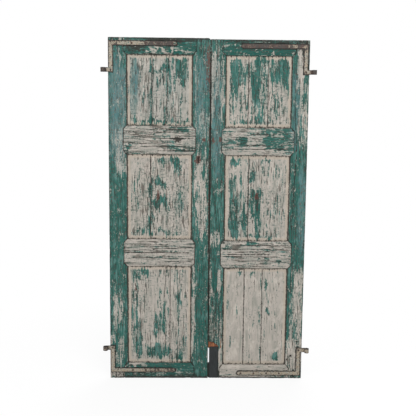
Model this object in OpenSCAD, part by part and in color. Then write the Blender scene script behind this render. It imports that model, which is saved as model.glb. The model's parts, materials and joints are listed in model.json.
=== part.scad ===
// Pair of old panelled door leaves that lap at the middle and hang on eyed corner straps.
// X runs across the pair, Y from the front to the back, Z up from the foot.
// Each leaf is drawn from its hinge edge (x = 0) towards the seam, with its front face at y = 0.

/* [Leaves] */
// Height of the left leaf
left_leaf_h = 2080; // [1900:1:2300]
// Height of the right leaf
right_leaf_h = 2074; // [1900:1:2300]
// Width of the left leaf's front face
left_leaf_w = 605; // [520:1:760]
// Width of the right leaf's front face
right_leaf_w = 583; // [520:1:760]
// Thickness of both leaves
leaf_t = 38; // [32:1:50]
// Radius of the worn top corner of the left leaf at the seam
top_corner_r = 17; // [5:1:30]

/* [Seam] */
// Gap between the two front faces
seam_gap = 2; // [1.5:0.5:4]
// Width of the left leaf's front lip over the right leaf
lap_w = 13; // [10:1:20]
// Thickness of the left leaf's front lip
lip_t = 18; // [14:1:20]
// Gap behind the lip
lap_gap = 0.7; // [0.3:0.1:2]
// Gap between the two rear edges
rear_gap = 3; // [2.5:0.5:5]

/* [Left frame] */
// Flat width of the left hinge stile
left_hinge_flat = 88; // [65:1:120]
// Flat width of the left meeting stile
left_meeting_flat = 86; // [75:1:120]
// Height of the left bottom rail
left_bottom_rail_h = 99; // [85:1:160]
// Height of the left lower middle rail
left_lower_rail_h = 171; // [120:1:200]
// Height of the left upper middle rail
left_upper_rail_h = 174; // [120:1:200]
// Height of the left top rail
left_top_rail_h = 98; // [85:1:160]
// Height of the left bottom panel
left_bottom_panel_h = 611; // [450:1:650]
// Height of the left middle panel
left_middle_panel_h = 513; // [400:1:600]

/* [Right frame] */
// Flat width of the right hinge stile
right_hinge_flat = 81; // [65:1:120]
// Flat width of the right meeting stile
right_meeting_flat = 69; // [65:1:120]
// Height of the right bottom rail
right_bottom_rail_h = 89; // [85:1:160]
// Height of the right lower middle rail
right_lower_rail_h = 172; // [120:1:200]
// Height of the right upper middle rail
right_upper_rail_h = 168; // [120:1:200]
// Height of the right top rail
right_top_rail_h = 95; // [85:1:160]
// Height of the right bottom panel
right_bottom_panel_h = 611; // [450:1:650]
// Height of the right middle panel
right_middle_panel_h = 520; // [400:1:600]

/* [Moulding and joints] */
// Width of the sloped moulding round each panel
moulding_w = 20; // [14:1:26]
// Fall of the moulding from the face to the panel
moulding_drop = 6; // [3:0.5:7]
// Depth of the grooves that hold the boards
groove_d = 12; // [10:1:14]
// Length of the short tenons in the meeting stiles
short_tenon_l = 55; // [40:1:60]
// Wood left beyond a tenon at the head and foot
tenon_haunch = 25; // [22:1:35]
// Clearance of tenons, boards and shoulders
wood_fit = 0.3; // [0.1:0.1:0.5]
// Thick end of the tenon wedges
wedge_thick = 5; // [3:0.5:8]
// Thin end of the tenon wedges
wedge_thin = 1; // [0.5:0.5:2]
// Length of the tenon wedges
wedge_l = 45; // [30:1:60]
// Radius of the tenon pegs
peg_r = 5; // [3:0.5:6]
// Distance from the panel line to each peg
peg_in = 28; // [20:1:34]

/* [Boards] */
// Thickness of the panel boards
board_t = 15; // [12:1:16]
// Depth of the panels behind the front face
panel_recess = 9; // [8.5:0.5:10]
// How far the boards enter the grooves
board_tuck = 10; // [6:1:10]
// Open joint between two boards
board_gap = 1.6; // [0.5:0.1:3]
// Length of the boards' tongues
tongue_l = 7; // [5:1:9]
// Thickness of the boards' tongues
tongue_t = 5; // [4:0.5:6]
// First joint of the left top panel, from the hinge edge
left_top_joint_1 = 259; // [170:1:300]
// Second joint of the left top panel, from the hinge edge
left_top_joint_2 = 349; // [335:1:430]
// Lean of that second joint over the panel's height
left_top_lean = 20; // [-25:1:25]
// Joint of the left middle panel, from the hinge edge
left_middle_joint = 250; // [170:1:280]
// Joint of the left bottom panel, from the hinge edge
left_bottom_joint = 369; // [170:1:430]
// First joint of the right top panel, from the hinge edge
right_top_joint_1 = 242; // [170:1:300]
// Second joint of the right top panel, from the hinge edge
right_top_joint_2 = 359; // [325:1:430]
// Joint of the right middle panel, from the hinge edge
right_middle_joint = 350; // [325:1:430]
// First joint of the right bottom panel, from the hinge edge
right_bottom_joint_1 = 255; // [170:1:300]
// Second joint of the right bottom panel, from the hinge edge
right_bottom_joint_2 = 366; // [325:1:430]

/* [Corner straps] */
// Width of the straps
strap_w = 27; // [22:1:32]
// Thickness of the straps
strap_t = 5; // [4:0.5:6]
// How far the straps stand out of the face
strap_proud = 2; // [1:0.5:3]
// Reach of the level legs from the hinge edge
strap_reach = 405; // [300:1:440]
// Clearance round the straps in the wood
strap_fit = 0.5; // [0.2:0.1:1]
// Inset of the left leaf's straps from the hinge edge
left_strap_inset = 2; // [0:1:12]
// Inset of the right leaf's straps from the hinge edge
right_strap_inset = 8; // [0:1:12]
// Level leg of the left upper strap, below the top
left_upper_leg = 33; // [24:1:50]
// Level leg of the left lower strap, above the foot
left_lower_leg = 52; // [24:1:60]
// Level leg of the right upper strap, below the top
right_upper_leg = 37; // [24:1:50]
// Level leg of the right lower strap, above the foot
right_lower_leg = 33; // [24:1:60]

/* [Hinge eyes] */
// Radius of the bores that turn on the pintles
eye_bore_r = 9; // [7:0.5:11]
// Distance of the eyes' axis beyond the hinge edge
eye_out = 29; // [26:1:40]
// Left upper eye, below the top
left_upper_eye = 188; // [140:1:260]
// Left lower eye, above the foot
left_lower_eye = 195; // [140:1:260]
// Right upper eye, below the top
right_upper_eye = 186; // [140:1:260]
// Right lower eye, above the foot
right_lower_eye = 184; // [140:1:260]

/* [Nails and staples] */
// Radius of the nail heads
nail_head_r = 6; // [4:0.5:8]
// Height of the nail heads
nail_head_h = 2.5; // [1.5:0.5:4]
// Radius of the nail shanks
nail_r = 2.2; // [1.5:0.1:3]
// Length of the nail shanks
nail_l = 28; // [20:1:30]
// Length of the nails' points
nail_point = 5; // [2:1:10]
// Clearance of nails, pegs and staples in the wood
nail_fit = 0.1; // [0.05:0.05:0.3]
// First nail of a level leg, from the hinge edge
nail_first = 139; // [125:1:160]
// Spacing of the nails of a level leg
nail_pitch = 80; // [50:1:86]
// Nails in a level leg
nail_count = 4; // [2:1:4]
// Distance of the panel staples from the hinge edge
staple_x = 299; // [270:1:320]
// Height of the panel staples above the foot
staple_z = 1141; // [1000:1:1200]
// Radius of the staple wire
staple_wire_r = 2.6; // [2:0.1:3.5]
// Half the distance between a staple's legs
staple_half_w = 9; // [6:0.5:12]
// How far the staple's legs stand out of the board
staple_proud = 1; // [0.5:0.5:4]
// Height of the lock nails above the foot
lock_nail_z = 1487; // [1400:1:1550]
// Left lock nail, from the seam
left_lock_nail_in = 43; // [38:1:50]
// First right lock nail, from the seam
right_lock_nail_1_in = 16; // [12:1:30]
// Second right lock nail, from the seam
right_lock_nail_2_in = 58; // [45:1:62]

/* [Broken foot] */
// Width of the slip let into the broken foot
slip_w = 55; // [40:1:60]
// Height of the slip
slip_h = 203; // [150:1:230]
// Thickness of the slip
slip_t = 4.2; // [3:0.1:5]
// Depth of the break in the stile's face
break_d = 7.5; // [6:0.5:8]
// Radius of the break's curved top
break_r = 75; // [66:1:90]
// Height of the break's centre above the foot
break_z = 161; // [130:1:190]
// Width of the slot broken right through at the seam
slot_w = 6; // [6:1:14]
// Bottom of that slot above the foot
slot_z = 92; // [80:1:150]
// Height of that slot
slot_h = 100; // [60:1:120]

/* [Hidden] */
$fn = 48;

// The two leaves, and the places of rails and panels from the foot up
LEFT = 0;
RIGHT = 1;
BOTTOM = 0;
LOWER = 1;
MIDDLE = 1;
UPPER = 2;
TOP_PANEL = 2;
TOP = 3;
RAILS = [BOTTOM, LOWER, UPPER, TOP];
// Overshoot of cutting shapes
over = 1;

leaf_h = [left_leaf_h, right_leaf_h];
leaf_w = [left_leaf_w, right_leaf_w];
hinge_flat = [left_hinge_flat, right_hinge_flat];
meeting_flat = [left_meeting_flat, right_meeting_flat];
strap_inset = [left_strap_inset, right_strap_inset];
rail_h = [
  [left_bottom_rail_h, left_lower_rail_h, left_upper_rail_h, left_top_rail_h],
  [right_bottom_rail_h, right_lower_rail_h, right_upper_rail_h, right_top_rail_h]];
rails_sum = [for (h = rail_h) h[BOTTOM] + h[LOWER] + h[UPPER] + h[TOP]];
// The top panel takes the height that is left
panel_h = [
  [left_bottom_panel_h, left_middle_panel_h,
    left_leaf_h - rails_sum[LEFT] - left_bottom_panel_h - left_middle_panel_h],
  [right_bottom_panel_h, right_middle_panel_h,
    right_leaf_h - rails_sum[RIGHT] - right_bottom_panel_h - right_middle_panel_h]];
// Joints of the boards in each leaf's bottom, middle and top panel, and how much they lean
joints = [
  [[left_bottom_joint], [left_middle_joint], [left_top_joint_1, left_top_joint_2]],
  [[right_bottom_joint_1, right_bottom_joint_2], [right_middle_joint],
    [right_top_joint_1, right_top_joint_2]]];
leans = [[[0], [0], [0, left_top_lean]], [[0, 0], [0], [0, 0]]];

pair_w = left_leaf_w + seam_gap + right_leaf_w;
eye_r = eye_bore_r + strap_t;
strap_back = strap_t - strap_proud;
eye_y = strap_back - eye_r;
// The box's middle between the eyes' front and the leaves' back
middle_y = (leaf_t + eye_y - eye_r) / 2;
board_back = panel_recess + board_t;
// The right leaf's rear tongue behind the left leaf's lip
tongue_reach = lap_w + seam_gap - rear_gap;

// Height of each strap's level leg and eye, lower then upper
leg_z = [
  [left_lower_leg, left_leaf_h - left_upper_leg],
  [right_lower_leg, right_leaf_h - right_upper_leg]];
eye_z = [
  [left_lower_eye, left_leaf_h - left_upper_eye],
  [right_lower_eye, right_leaf_h - right_upper_eye]];

function rail_z(leaf, i) =
  i == 0 ? 0 : rail_z(leaf, i - 1) + rail_h[leaf][i - 1] + panel_h[leaf][i - 1];
function rail_top(leaf, i) = rail_z(leaf, i) + rail_h[leaf][i];
// The panels' two upright edges, from the hinge edge
function panel_x0(leaf) = hinge_flat[leaf] + moulding_w;
function panel_x1(leaf) = leaf_w[leaf] - meeting_flat[leaf] - moulding_w;
function tenon_z0(leaf, i) = rail_z(leaf, i) + (i == BOTTOM ? tenon_haunch : groove_d);
function tenon_z1(leaf, i) = rail_top(leaf, i) - (i == TOP ? tenon_haunch : groove_d);
// Where a board joint stands at a height, as it may lean
function joint_x(leaf, panel, k, z) =
  joints[leaf][panel][k]
  + leans[leaf][panel][k] * ((z - rail_top(leaf, panel)) / panel_h[leaf][panel] - 0.5);
function level_nails() = [for (k = [0:nail_count - 1]) nail_first + k * nail_pitch];

// Puts a leaf, drawn from its hinge edge, at its place in the pair
module on_leaf(leaf) {
  if (leaf == LEFT) translate([-pair_w / 2, -middle_y, 0]) children();
  if (leaf == RIGHT) translate([pair_w / 2, -middle_y, 0]) mirror([1, 0, 0]) children();
}

module block(x0, x1, y0, y1, z0, z1) {
  translate([x0, y0, z0]) cube([x1 - x0, y1 - y0, z1 - z0]);
}

// A shape drawn in X and Z, as thick as from y0 back to y1
module from_front(y0, y1) {
  translate([0, y1, 0]) rotate([90, 0, 0]) linear_extrude(height = y1 - y0) children();
}

// A round bar that runs from y0 back to y1
module bar(x, z, r, y0, y1) {
  translate([x, y0, z]) rotate([-90, 0, 0]) cylinder(r = r, h = y1 - y0);
}

// ---------------------------------------------------------------- frame joints

// Front outline of a rail, with its corners mitred against the stiles' mouldings
module rail_outline(leaf, i, grow) {
  x0 = hinge_flat[leaf] - grow;
  x1 = leaf_w[leaf] - meeting_flat[leaf] + grow;
  z0 = rail_z(leaf, i);
  z1 = rail_top(leaf, i);
  foot = i == BOTTOM ? 0 : moulding_w;
  head = i == TOP ? 0 : moulding_w;
  polygon([[x0, z0 + foot], [x0 + foot, z0], [x1 - foot, z0], [x1, z0 + foot],
    [x1, z1 - head], [x1 - head, z1], [x0 + head, z1], [x0, z1 - head]]);
}

// Wedge-shaped outline at a tenon's upper (1) or lower (-1) edge
module wedge_outline(leaf, i, way, grow) {
  z = way > 0 ? tenon_z1(leaf, i) : tenon_z0(leaf, i);
  polygon([[-grow, z + way * (wood_fit - grow)], [wedge_l + grow, z + way * (wood_fit - grow)],
    [wedge_l + grow, z + way * (wood_fit + wedge_thin + grow)],
    [-grow, z + way * (wood_fit + wedge_thick + grow)]]);
}

module tenon(leaf, i, x0, x1, grow) {
  block(x0, x1, panel_recess - grow, board_back + grow,
    tenon_z0(leaf, i) - grow, tenon_z1(leaf, i) + grow);
}

// Sloped moulding cut along a rail's panel edge at height z, with the rail above (1) or below (-1)
module moulding_cut(z, way) {
  slope = moulding_drop / moulding_w;
  rotate([90, 0, 90]) linear_extrude(height = max(leaf_w))
    polygon([[-over, z - way * over], [moulding_drop + slope * over, z - way * over],
      [0, z + way * moulding_w], [-over, z + way * moulding_w]]);
}

// Pegs that hold the short tenons, driven from the back, or with grow their holes
module pegs(leaf, grow) {
  for (i = RAILS)
    bar(panel_x1(leaf) + peg_in, (tenon_z0(leaf, i) + tenon_z1(leaf, i)) / 2, peg_r + grow,
      panel_recess - wood_fit, leaf_t + grow);
}

module rail(leaf, i) {
  z0 = rail_z(leaf, i);
  z1 = rail_top(leaf, i);
  x0 = panel_x0(leaf);
  x1 = panel_x1(leaf);
  difference() {
    union() {
      block(x0 + wood_fit, x1 - wood_fit, 0, leaf_t, z0, z1);
      from_front(0, panel_recess - wood_fit) rail_outline(leaf, i, -wood_fit);
      tenon(leaf, i, over, x1 + short_tenon_l, 0);
    }
    if (i != TOP) {
      moulding_cut(z1, -1);
      block(x0 - over, x1 + over, panel_recess - wood_fit, board_back + wood_fit, z1 - groove_d, z1 + over);
    }
    if (i != BOTTOM) {
      moulding_cut(z0, 1);
      block(x0 - over, x1 + over, panel_recess - wood_fit, board_back + wood_fit, z0 - over, z0 + groove_d);
    }
    if (i == BOTTOM || i == TOP) strap_seat(leaf, i == TOP ? 1 : 0);
    pegs(leaf, nail_fit);
    lock_nail_holes(leaf);
    if (leaf == RIGHT) foot_break();
  }
}

// Cuts that every stile has for its rails, boards and pegs
module stile_cuts(leaf) {
  for (i = RAILS) {
    from_front(-over, panel_recess) rail_outline(leaf, i, 0);
    tenon(leaf, i, -over, panel_x1(leaf) + short_tenon_l + wood_fit, wood_fit);
    for (way = [-1, 1])
      from_front(panel_recess - wood_fit, board_back + wood_fit) wedge_outline(leaf, i, way, wood_fit);
  }
  block(panel_x0(leaf) - groove_d, panel_x1(leaf) + groove_d,
    panel_recess - wood_fit, board_back + wood_fit, -over, leaf_h[leaf] + over);
  pegs(leaf, nail_fit);
}

module hinge_stile(leaf) {
  w = hinge_flat[leaf];
  difference() {
    linear_extrude(height = leaf_h[leaf])
      polygon([[0, 0], [w, 0], [w + moulding_w, moulding_drop], [w + moulding_w, leaf_t], [0, leaf_t]]);
    stile_cuts(leaf);
    for (end = [0, 1]) strap_seat(leaf, end);
  }
}

// The left stile has the front lip, the right one the rear tongue
module meeting_stile(leaf) {
  w = leaf_w[leaf];
  flat_x = w - meeting_flat[leaf];
  step_y = leaf == LEFT ? lip_t : lip_t + lap_gap;
  rear_x = leaf == LEFT ? w - lap_w : w + tongue_reach;
  difference() {
    linear_extrude(height = leaf_h[leaf])
      polygon([[flat_x - moulding_w, moulding_drop], [flat_x, 0], [w, 0], [w, step_y],
        [rear_x, step_y], [rear_x, leaf_t], [flat_x - moulding_w, leaf_t]]);
    stile_cuts(leaf);
    lock_nail_holes(leaf);
    if (leaf == LEFT) worn_corner();
    if (leaf == RIGHT) foot_break();
  }
}

module worn_corner() {
  from_front(-over, leaf_t + over) difference() {
    translate([left_leaf_w - top_corner_r, left_leaf_h - top_corner_r])
      square(top_corner_r + over);
    translate([left_leaf_w - top_corner_r, left_leaf_h - top_corner_r]) circle(r = top_corner_r);
  }
}

// The face split off round the slip, and the slot broken right through beside it
module foot_break() {
  x0 = slip_x0() - wood_fit;
  from_front(-over, break_d) {
    translate([x0, -over]) square([right_leaf_w - x0 + over, slip_h + wood_fit + over]);
    intersection() {
      translate([right_leaf_w, break_z]) circle(r = break_r);
      translate([x0, 0]) square([break_r * 2, break_z + break_r]);
    }
  }
  block(right_leaf_w - slot_w, right_leaf_w + tongue_reach + over, -over, leaf_t + over,
    slot_z, slot_z + slot_h);
}

function slip_x0() = right_leaf_w - slot_w - slip_w;

// ---------------------------------------------------------------- boards

// Front outline between two upright edges that may lean
module board_outline(leaf, panel, left_k, right_k, shift_left, shift_right) {
  z0 = rail_top(leaf, panel) - board_tuck;
  z1 = rail_z(leaf, panel + 1) + board_tuck;
  last = len(joints[leaf][panel]);
  left = [for (z = [z0, z1])
    (left_k < 0 ? panel_x0(leaf) - board_tuck : joint_x(leaf, panel, left_k, z)) + shift_left];
  right = [for (z = [z0, z1])
    (right_k == last ? panel_x1(leaf) + board_tuck : joint_x(leaf, panel, right_k, z)) + shift_right];
  polygon([[left[0], z0], [right[0], z0], [right[1], z1], [left[1], z1]]);
}

// Board k of a panel, counted from the hinge side, with a tongue towards the next one
module board(leaf, panel, k) {
  last = len(joints[leaf][panel]);
  half = board_gap / 2;
  tongue_y = panel_recess + (board_t - tongue_t) / 2;
  difference() {
    union() {
      from_front(panel_recess, board_back)
        board_outline(leaf, panel, k - 1, k, k == 0 ? 0 : half, k == last ? 0 : -half);
      if (k < last)
        from_front(tongue_y, tongue_y + tongue_t)
          board_outline(leaf, panel, k, k, -half - over, half + tongue_l);
    }
    if (k > 0)
      from_front(tongue_y - wood_fit, tongue_y + tongue_t + wood_fit)
        board_outline(leaf, panel, k - 1, k - 1, -over, half + tongue_l + wood_fit);
    if (panel == MIDDLE) staple_holes();
  }
}

// ---------------------------------------------------------------- ironwork

// The L of a strap, lower (0) or upper (1), with the level leg's far end rounded
module strap_outline(leaf, end, grow) {
  w = strap_w / 2 + grow;
  x0 = strap_inset[leaf];
  z = leg_z[leaf][end];
  way = end == 0 ? 1 : -1;
  far_z = eye_z[leaf][end] + way * w;
  near_z = z - way * w;
  translate([x0 - grow, z - w]) square([strap_reach - strap_w / 2 - x0 + grow, 2 * w]);
  translate([strap_reach - strap_w / 2, z]) circle(r = w);
  translate([x0 - grow, min(near_z, far_z)]) square([2 * w, abs(far_z - near_z)]);
}

module strap(leaf, end) {
  z = eye_z[leaf][end];
  difference() {
    union() {
      from_front(-strap_proud, strap_back) strap_outline(leaf, end, 0);
      block(-eye_out, strap_inset[leaf] + over, -strap_proud, strap_back,
        z - strap_w / 2, z + strap_w / 2);
      translate([-eye_out, eye_y, z - strap_w / 2]) cylinder(r = eye_r, h = strap_w);
    }
    translate([-eye_out, eye_y, z - strap_w / 2 - over])
      cylinder(r = eye_bore_r, h = strap_w + 2 * over);
    strap_nail_places(leaf, end) bar(0, 0, nail_r + wood_fit, -strap_proud - over, strap_back + over);
  }
}

module strap_nail_places(leaf, end) {
  for (x = level_nails()) translate([x, 0, leg_z[leaf][end]]) children();
  translate([strap_inset[leaf] + strap_w / 2, 0, eye_z[leaf][end]]) children();
}

// The seat cut in the wood for a strap, its tail to the eye and its nails
module strap_seat(leaf, end) {
  z = eye_z[leaf][end];
  w = strap_w / 2 + strap_fit;
  from_front(-over, strap_back) strap_outline(leaf, end, strap_fit);
  block(-over, strap_inset[leaf] + over, -over, strap_back, z - w, z + w);
  strap_nail_places(leaf, end)
    bar(0, 0, nail_r + nail_fit, -over, nail_l - strap_proud + nail_fit);
}

// A hand-made nail with a low domed head, driven from y = 0
module nail() {
  rotate([-90, 0, 0]) rotate_extrude()
    polygon(concat([for (a = [90:-30:0]) [nail_head_r * cos(a), -nail_head_h * sin(a)]],
      [[nail_r, 0], [nail_r, nail_l - nail_point], [0, nail_l]]));
}

module strap_nails(leaf) {
  for (end = [0, 1])
    strap_nail_places(leaf, end) translate([0, -strap_proud, 0]) nail();
}

function lock_nail_x(leaf) =
  leaf == LEFT ? [left_leaf_w - left_lock_nail_in]
  : [for (d = [right_lock_nail_1_in, right_lock_nail_2_in]) right_leaf_w - d];

module lock_nails(leaf) {
  for (x = lock_nail_x(leaf)) translate([x, 0, lock_nail_z]) nail();
}

module lock_nail_holes(leaf) {
  for (x = lock_nail_x(leaf)) bar(x, lock_nail_z, nail_r + nail_fit, -over, nail_l + nail_fit);
}

// A round wire staple, with its two legs one above the other through the board
module staple() {
  bow_y = panel_recess - staple_proud;
  intersection() {
    translate([staple_x, bow_y, staple_z]) rotate([0, 90, 0])
      rotate_extrude() translate([staple_half_w, 0]) circle(r = staple_wire_r);
    block(0, leaf_w[LEFT], -leaf_t, bow_y, 0, left_leaf_h);
  }
  for (way = [-1, 1])
    bar(staple_x, staple_z + way * staple_half_w, staple_wire_r, bow_y, board_back + staple_proud);
}

module staple_holes() {
  for (way = [-1, 1])
    bar(staple_x, staple_z + way * staple_half_w, staple_wire_r + nail_fit, 0, leaf_t);
}

// ---------------------------------------------------------------- fastenings of wood

module tenon_wedges(leaf) {
  for (i = RAILS, way = [-1, 1])
    intersection() {
      from_front(panel_recess, board_back) wedge_outline(leaf, i, way, 0);
      block(over, wedge_l, 0, leaf_t, 0, leaf_h[leaf]);
    }
}

module foot_slip() {
  back = break_d - wood_fit;
  block(slip_x0(), slip_x0() + slip_w, back - slip_t, back, 0, slip_h);
}

// ---------------------------------------------------------------- sub-parts by name

module left_hinge_stile() color("#47675f") on_leaf(LEFT) hinge_stile(LEFT);
module left_meeting_stile() color("#4a6a63") on_leaf(LEFT) meeting_stile(LEFT);
module left_bottom_rail() color("#56685f") on_leaf(LEFT) rail(LEFT, BOTTOM);
module left_lower_middle_rail() color("#92918a") on_leaf(LEFT) rail(LEFT, LOWER);
module left_upper_middle_rail() color("#8f9089") on_leaf(LEFT) rail(LEFT, UPPER);
module left_top_rail() color("#58706b") on_leaf(LEFT) rail(LEFT, TOP);
module left_bottom_board_1() color("#949289") on_leaf(LEFT) board(LEFT, BOTTOM, 0);
module left_bottom_board_2() color("#9a988f") on_leaf(LEFT) board(LEFT, BOTTOM, 1);
module left_middle_board_1() color("#999890") on_leaf(LEFT) board(LEFT, MIDDLE, 0);
module left_middle_board_2() color("#869089") on_leaf(LEFT) board(LEFT, MIDDLE, 1);
module left_top_board_1() color("#8c918b") on_leaf(LEFT) board(LEFT, TOP_PANEL, 0);
module left_top_board_2() color("#a09d94") on_leaf(LEFT) board(LEFT, TOP_PANEL, 1);
module left_top_board_3() color("#8a8f87") on_leaf(LEFT) board(LEFT, TOP_PANEL, 2);
module left_upper_strap() color("#6b6459") on_leaf(LEFT) strap(LEFT, 1);
module left_lower_strap() color("#67695e") on_leaf(LEFT) strap(LEFT, 0);
module left_strap_nails() color("#5a4636") on_leaf(LEFT) strap_nails(LEFT);
module left_tenon_wedges() color("#7d6a50") on_leaf(LEFT) tenon_wedges(LEFT);
module left_tenon_pegs() color("#7d6a50") on_leaf(LEFT) pegs(LEFT, 0);
module left_panel_staple() color("#4a342b") on_leaf(LEFT) staple();
module left_lock_nail() color("#6a4a36") on_leaf(LEFT) lock_nails(LEFT);

module right_hinge_stile() color("#4f756f") on_leaf(RIGHT) hinge_stile(RIGHT);
module right_meeting_stile() color("#55756f") on_leaf(RIGHT) meeting_stile(RIGHT);
module right_bottom_rail() color("#a09b91") on_leaf(RIGHT) rail(RIGHT, BOTTOM);
module right_lower_middle_rail() color("#93948d") on_leaf(RIGHT) rail(RIGHT, LOWER);
module right_upper_middle_rail() color("#7d8a82") on_leaf(RIGHT) rail(RIGHT, UPPER);
module right_top_rail() color("#4c6b63") on_leaf(RIGHT) rail(RIGHT, TOP);
module right_bottom_board_1() color("#a8a299") on_leaf(RIGHT) board(RIGHT, BOTTOM, 0);
module right_bottom_board_2() color("#a39e95") on_leaf(RIGHT) board(RIGHT, BOTTOM, 1);
module right_bottom_board_3() color("#a8a299") on_leaf(RIGHT) board(RIGHT, BOTTOM, 2);
module right_middle_board_1() color("#a5a49b") on_leaf(RIGHT) board(RIGHT, MIDDLE, 0);
module right_middle_board_2() color("#7d8f88") on_leaf(RIGHT) board(RIGHT, MIDDLE, 1);
module right_top_board_1() color("#667874") on_leaf(RIGHT) board(RIGHT, TOP_PANEL, 0);
module right_top_board_2() color("#7c8a84") on_leaf(RIGHT) board(RIGHT, TOP_PANEL, 1);
module right_top_board_3() color("#8f9791") on_leaf(RIGHT) board(RIGHT, TOP_PANEL, 2);
module right_upper_strap() color("#53504c") on_leaf(RIGHT) strap(RIGHT, 1);
module right_lower_strap() color("#8c887c") on_leaf(RIGHT) strap(RIGHT, 0);
module right_strap_nails() color("#5a4636") on_leaf(RIGHT) strap_nails(RIGHT);
module right_tenon_wedges() color("#7d6a50") on_leaf(RIGHT) tenon_wedges(RIGHT);
module right_tenon_pegs() color("#7d6a50") on_leaf(RIGHT) pegs(RIGHT, 0);
module right_panel_staple() color("#4a342b") on_leaf(RIGHT) staple();
module right_lock_nails() color("#6a4a36") on_leaf(RIGHT) lock_nails(RIGHT);
module right_foot_slip() color("#323736") on_leaf(RIGHT) foot_slip();

left_hinge_stile();
left_meeting_stile();
left_bottom_rail();
left_lower_middle_rail();
left_upper_middle_rail();
left_top_rail();
left_bottom_board_1();
left_bottom_board_2();
left_middle_board_1();
left_middle_board_2();
left_top_board_1();
left_top_board_2();
left_top_board_3();
left_upper_strap();
left_lower_strap();
left_strap_nails();
left_tenon_wedges();
left_tenon_pegs();
left_panel_staple();
left_lock_nail();
right_hinge_stile();
right_meeting_stile();
right_bottom_rail();
right_lower_middle_rail();
right_upper_middle_rail();
right_top_rail();
right_bottom_board_1();
right_bottom_board_2();
right_bottom_board_3();
right_middle_board_1();
right_middle_board_2();
right_top_board_1();
right_top_board_2();
right_top_board_3();
right_upper_strap();
right_lower_strap();
right_strap_nails();
right_tenon_wedges();
right_tenon_pegs();
right_panel_staple();
right_lock_nails();
right_foot_slip();
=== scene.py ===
"""A pair of weathered wooden door leaves: flaking paint on worn pine, with forged and rusty ironwork."""
import json
import math
import random
from contextlib import contextmanager

import bpy
import numpy as np
from mathutils import Matrix, Vector, kdtree, noise

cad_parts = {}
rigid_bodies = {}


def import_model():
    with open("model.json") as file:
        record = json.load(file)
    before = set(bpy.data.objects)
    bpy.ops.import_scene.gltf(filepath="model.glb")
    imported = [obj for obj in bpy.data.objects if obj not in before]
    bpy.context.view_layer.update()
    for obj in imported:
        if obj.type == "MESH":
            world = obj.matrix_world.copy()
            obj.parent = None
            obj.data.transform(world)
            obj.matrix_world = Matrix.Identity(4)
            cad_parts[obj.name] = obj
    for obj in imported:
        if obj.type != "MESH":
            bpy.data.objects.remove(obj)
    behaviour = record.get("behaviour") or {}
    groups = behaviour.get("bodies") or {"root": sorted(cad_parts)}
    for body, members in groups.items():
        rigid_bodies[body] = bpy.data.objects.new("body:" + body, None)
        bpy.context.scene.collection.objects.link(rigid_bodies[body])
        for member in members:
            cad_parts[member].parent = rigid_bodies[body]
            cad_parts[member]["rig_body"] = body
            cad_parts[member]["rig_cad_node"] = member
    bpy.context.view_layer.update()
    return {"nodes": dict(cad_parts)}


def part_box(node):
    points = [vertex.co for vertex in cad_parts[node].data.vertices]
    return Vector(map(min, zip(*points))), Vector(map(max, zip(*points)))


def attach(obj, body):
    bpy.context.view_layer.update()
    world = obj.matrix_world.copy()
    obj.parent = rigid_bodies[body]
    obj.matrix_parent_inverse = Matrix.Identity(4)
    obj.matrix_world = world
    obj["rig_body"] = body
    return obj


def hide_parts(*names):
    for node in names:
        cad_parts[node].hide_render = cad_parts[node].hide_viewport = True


bl_info = {
    "name": "Weathered Double Door",
    "version": (1, 0, 0),
    "blender": (4, 5, 0),
    "location": "View3D > Sidebar > Old Door",
    "description": "Builds two old door leaves with worn timber, flaking paint and rusty ironwork",
    "category": "Object",
}

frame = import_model()
MM = 0.001

LEAVES = ("left", "right")
RAILS = ("bottom", "lower_middle", "upper_middle", "top")
# The front face's place in depth, how far behind it the panels lie, and how high a nail's head
# stands, in millimetres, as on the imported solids.
FRONT = -6.5
RECESS = 9
HEAD_HEIGHT = 2.5
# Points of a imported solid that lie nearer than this, in metres, are merged, and faces flatter than this.
MERGE_GAP = 2e-5
FLAT = math.radians(1)
# An edge sharper than this is worn. Beside a straight one longer than this, in metres, the mesh is
# cut at these distances from it.
SHARP = math.radians(25)
LONG_EDGE = 0.015
BESIDE = (0.0016, 0.0045)
# The length of the faces of the straps, and how far the painted shadow and dirt beside a strap reach, in
# metres.
STRAP_STEP = 0.0045
STRAP_SHADOW_AND_DIRT = 0.007
# How far a split strays from straight, and where the dirt round it starts to fade and ends, in mm.
SPLIT_STRAY = 3.5
SPLIT_DIRT = (0.8, 3.2)
# Where in depth the back's even wear starts and where it is whole, in mm.
BEHIND = (FRONT + 14, FRONT + 30)
# The lowest and highest corner of the torn wood in the broken foot, in mm. Its ridges start at this
# height, in metres.
TORN_FOOT = ((8, FRONT + 1.2, 196), (92, FRONT + 9.5, 242))
TORN_RIDGES = 0.204
# The floor's width, each lamp's name, width and place, and the spot that they aim at, in metres.
FLOOR_SIZE = 14
LAMPS = (("key", 2.4, (0.9, -3.6, 3.8)), ("fill", 3.0, (-3.0, -3.2, 1.6)), ("back", 3.0, (1.2, 3.8, 3.0)))
LAMPS_AIM = (0, 0, 1.05)


# ---------------------------------------------------------------- where the paint, dirt and painted shade lie
# Each row is an area: its middle across and up, its half width and half height in millimetres, and
# its amount. This is where an area starts to fade and where it ends, as shares of its half sizes.
AREA_EDGE = (0.55, 1.5)
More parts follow.
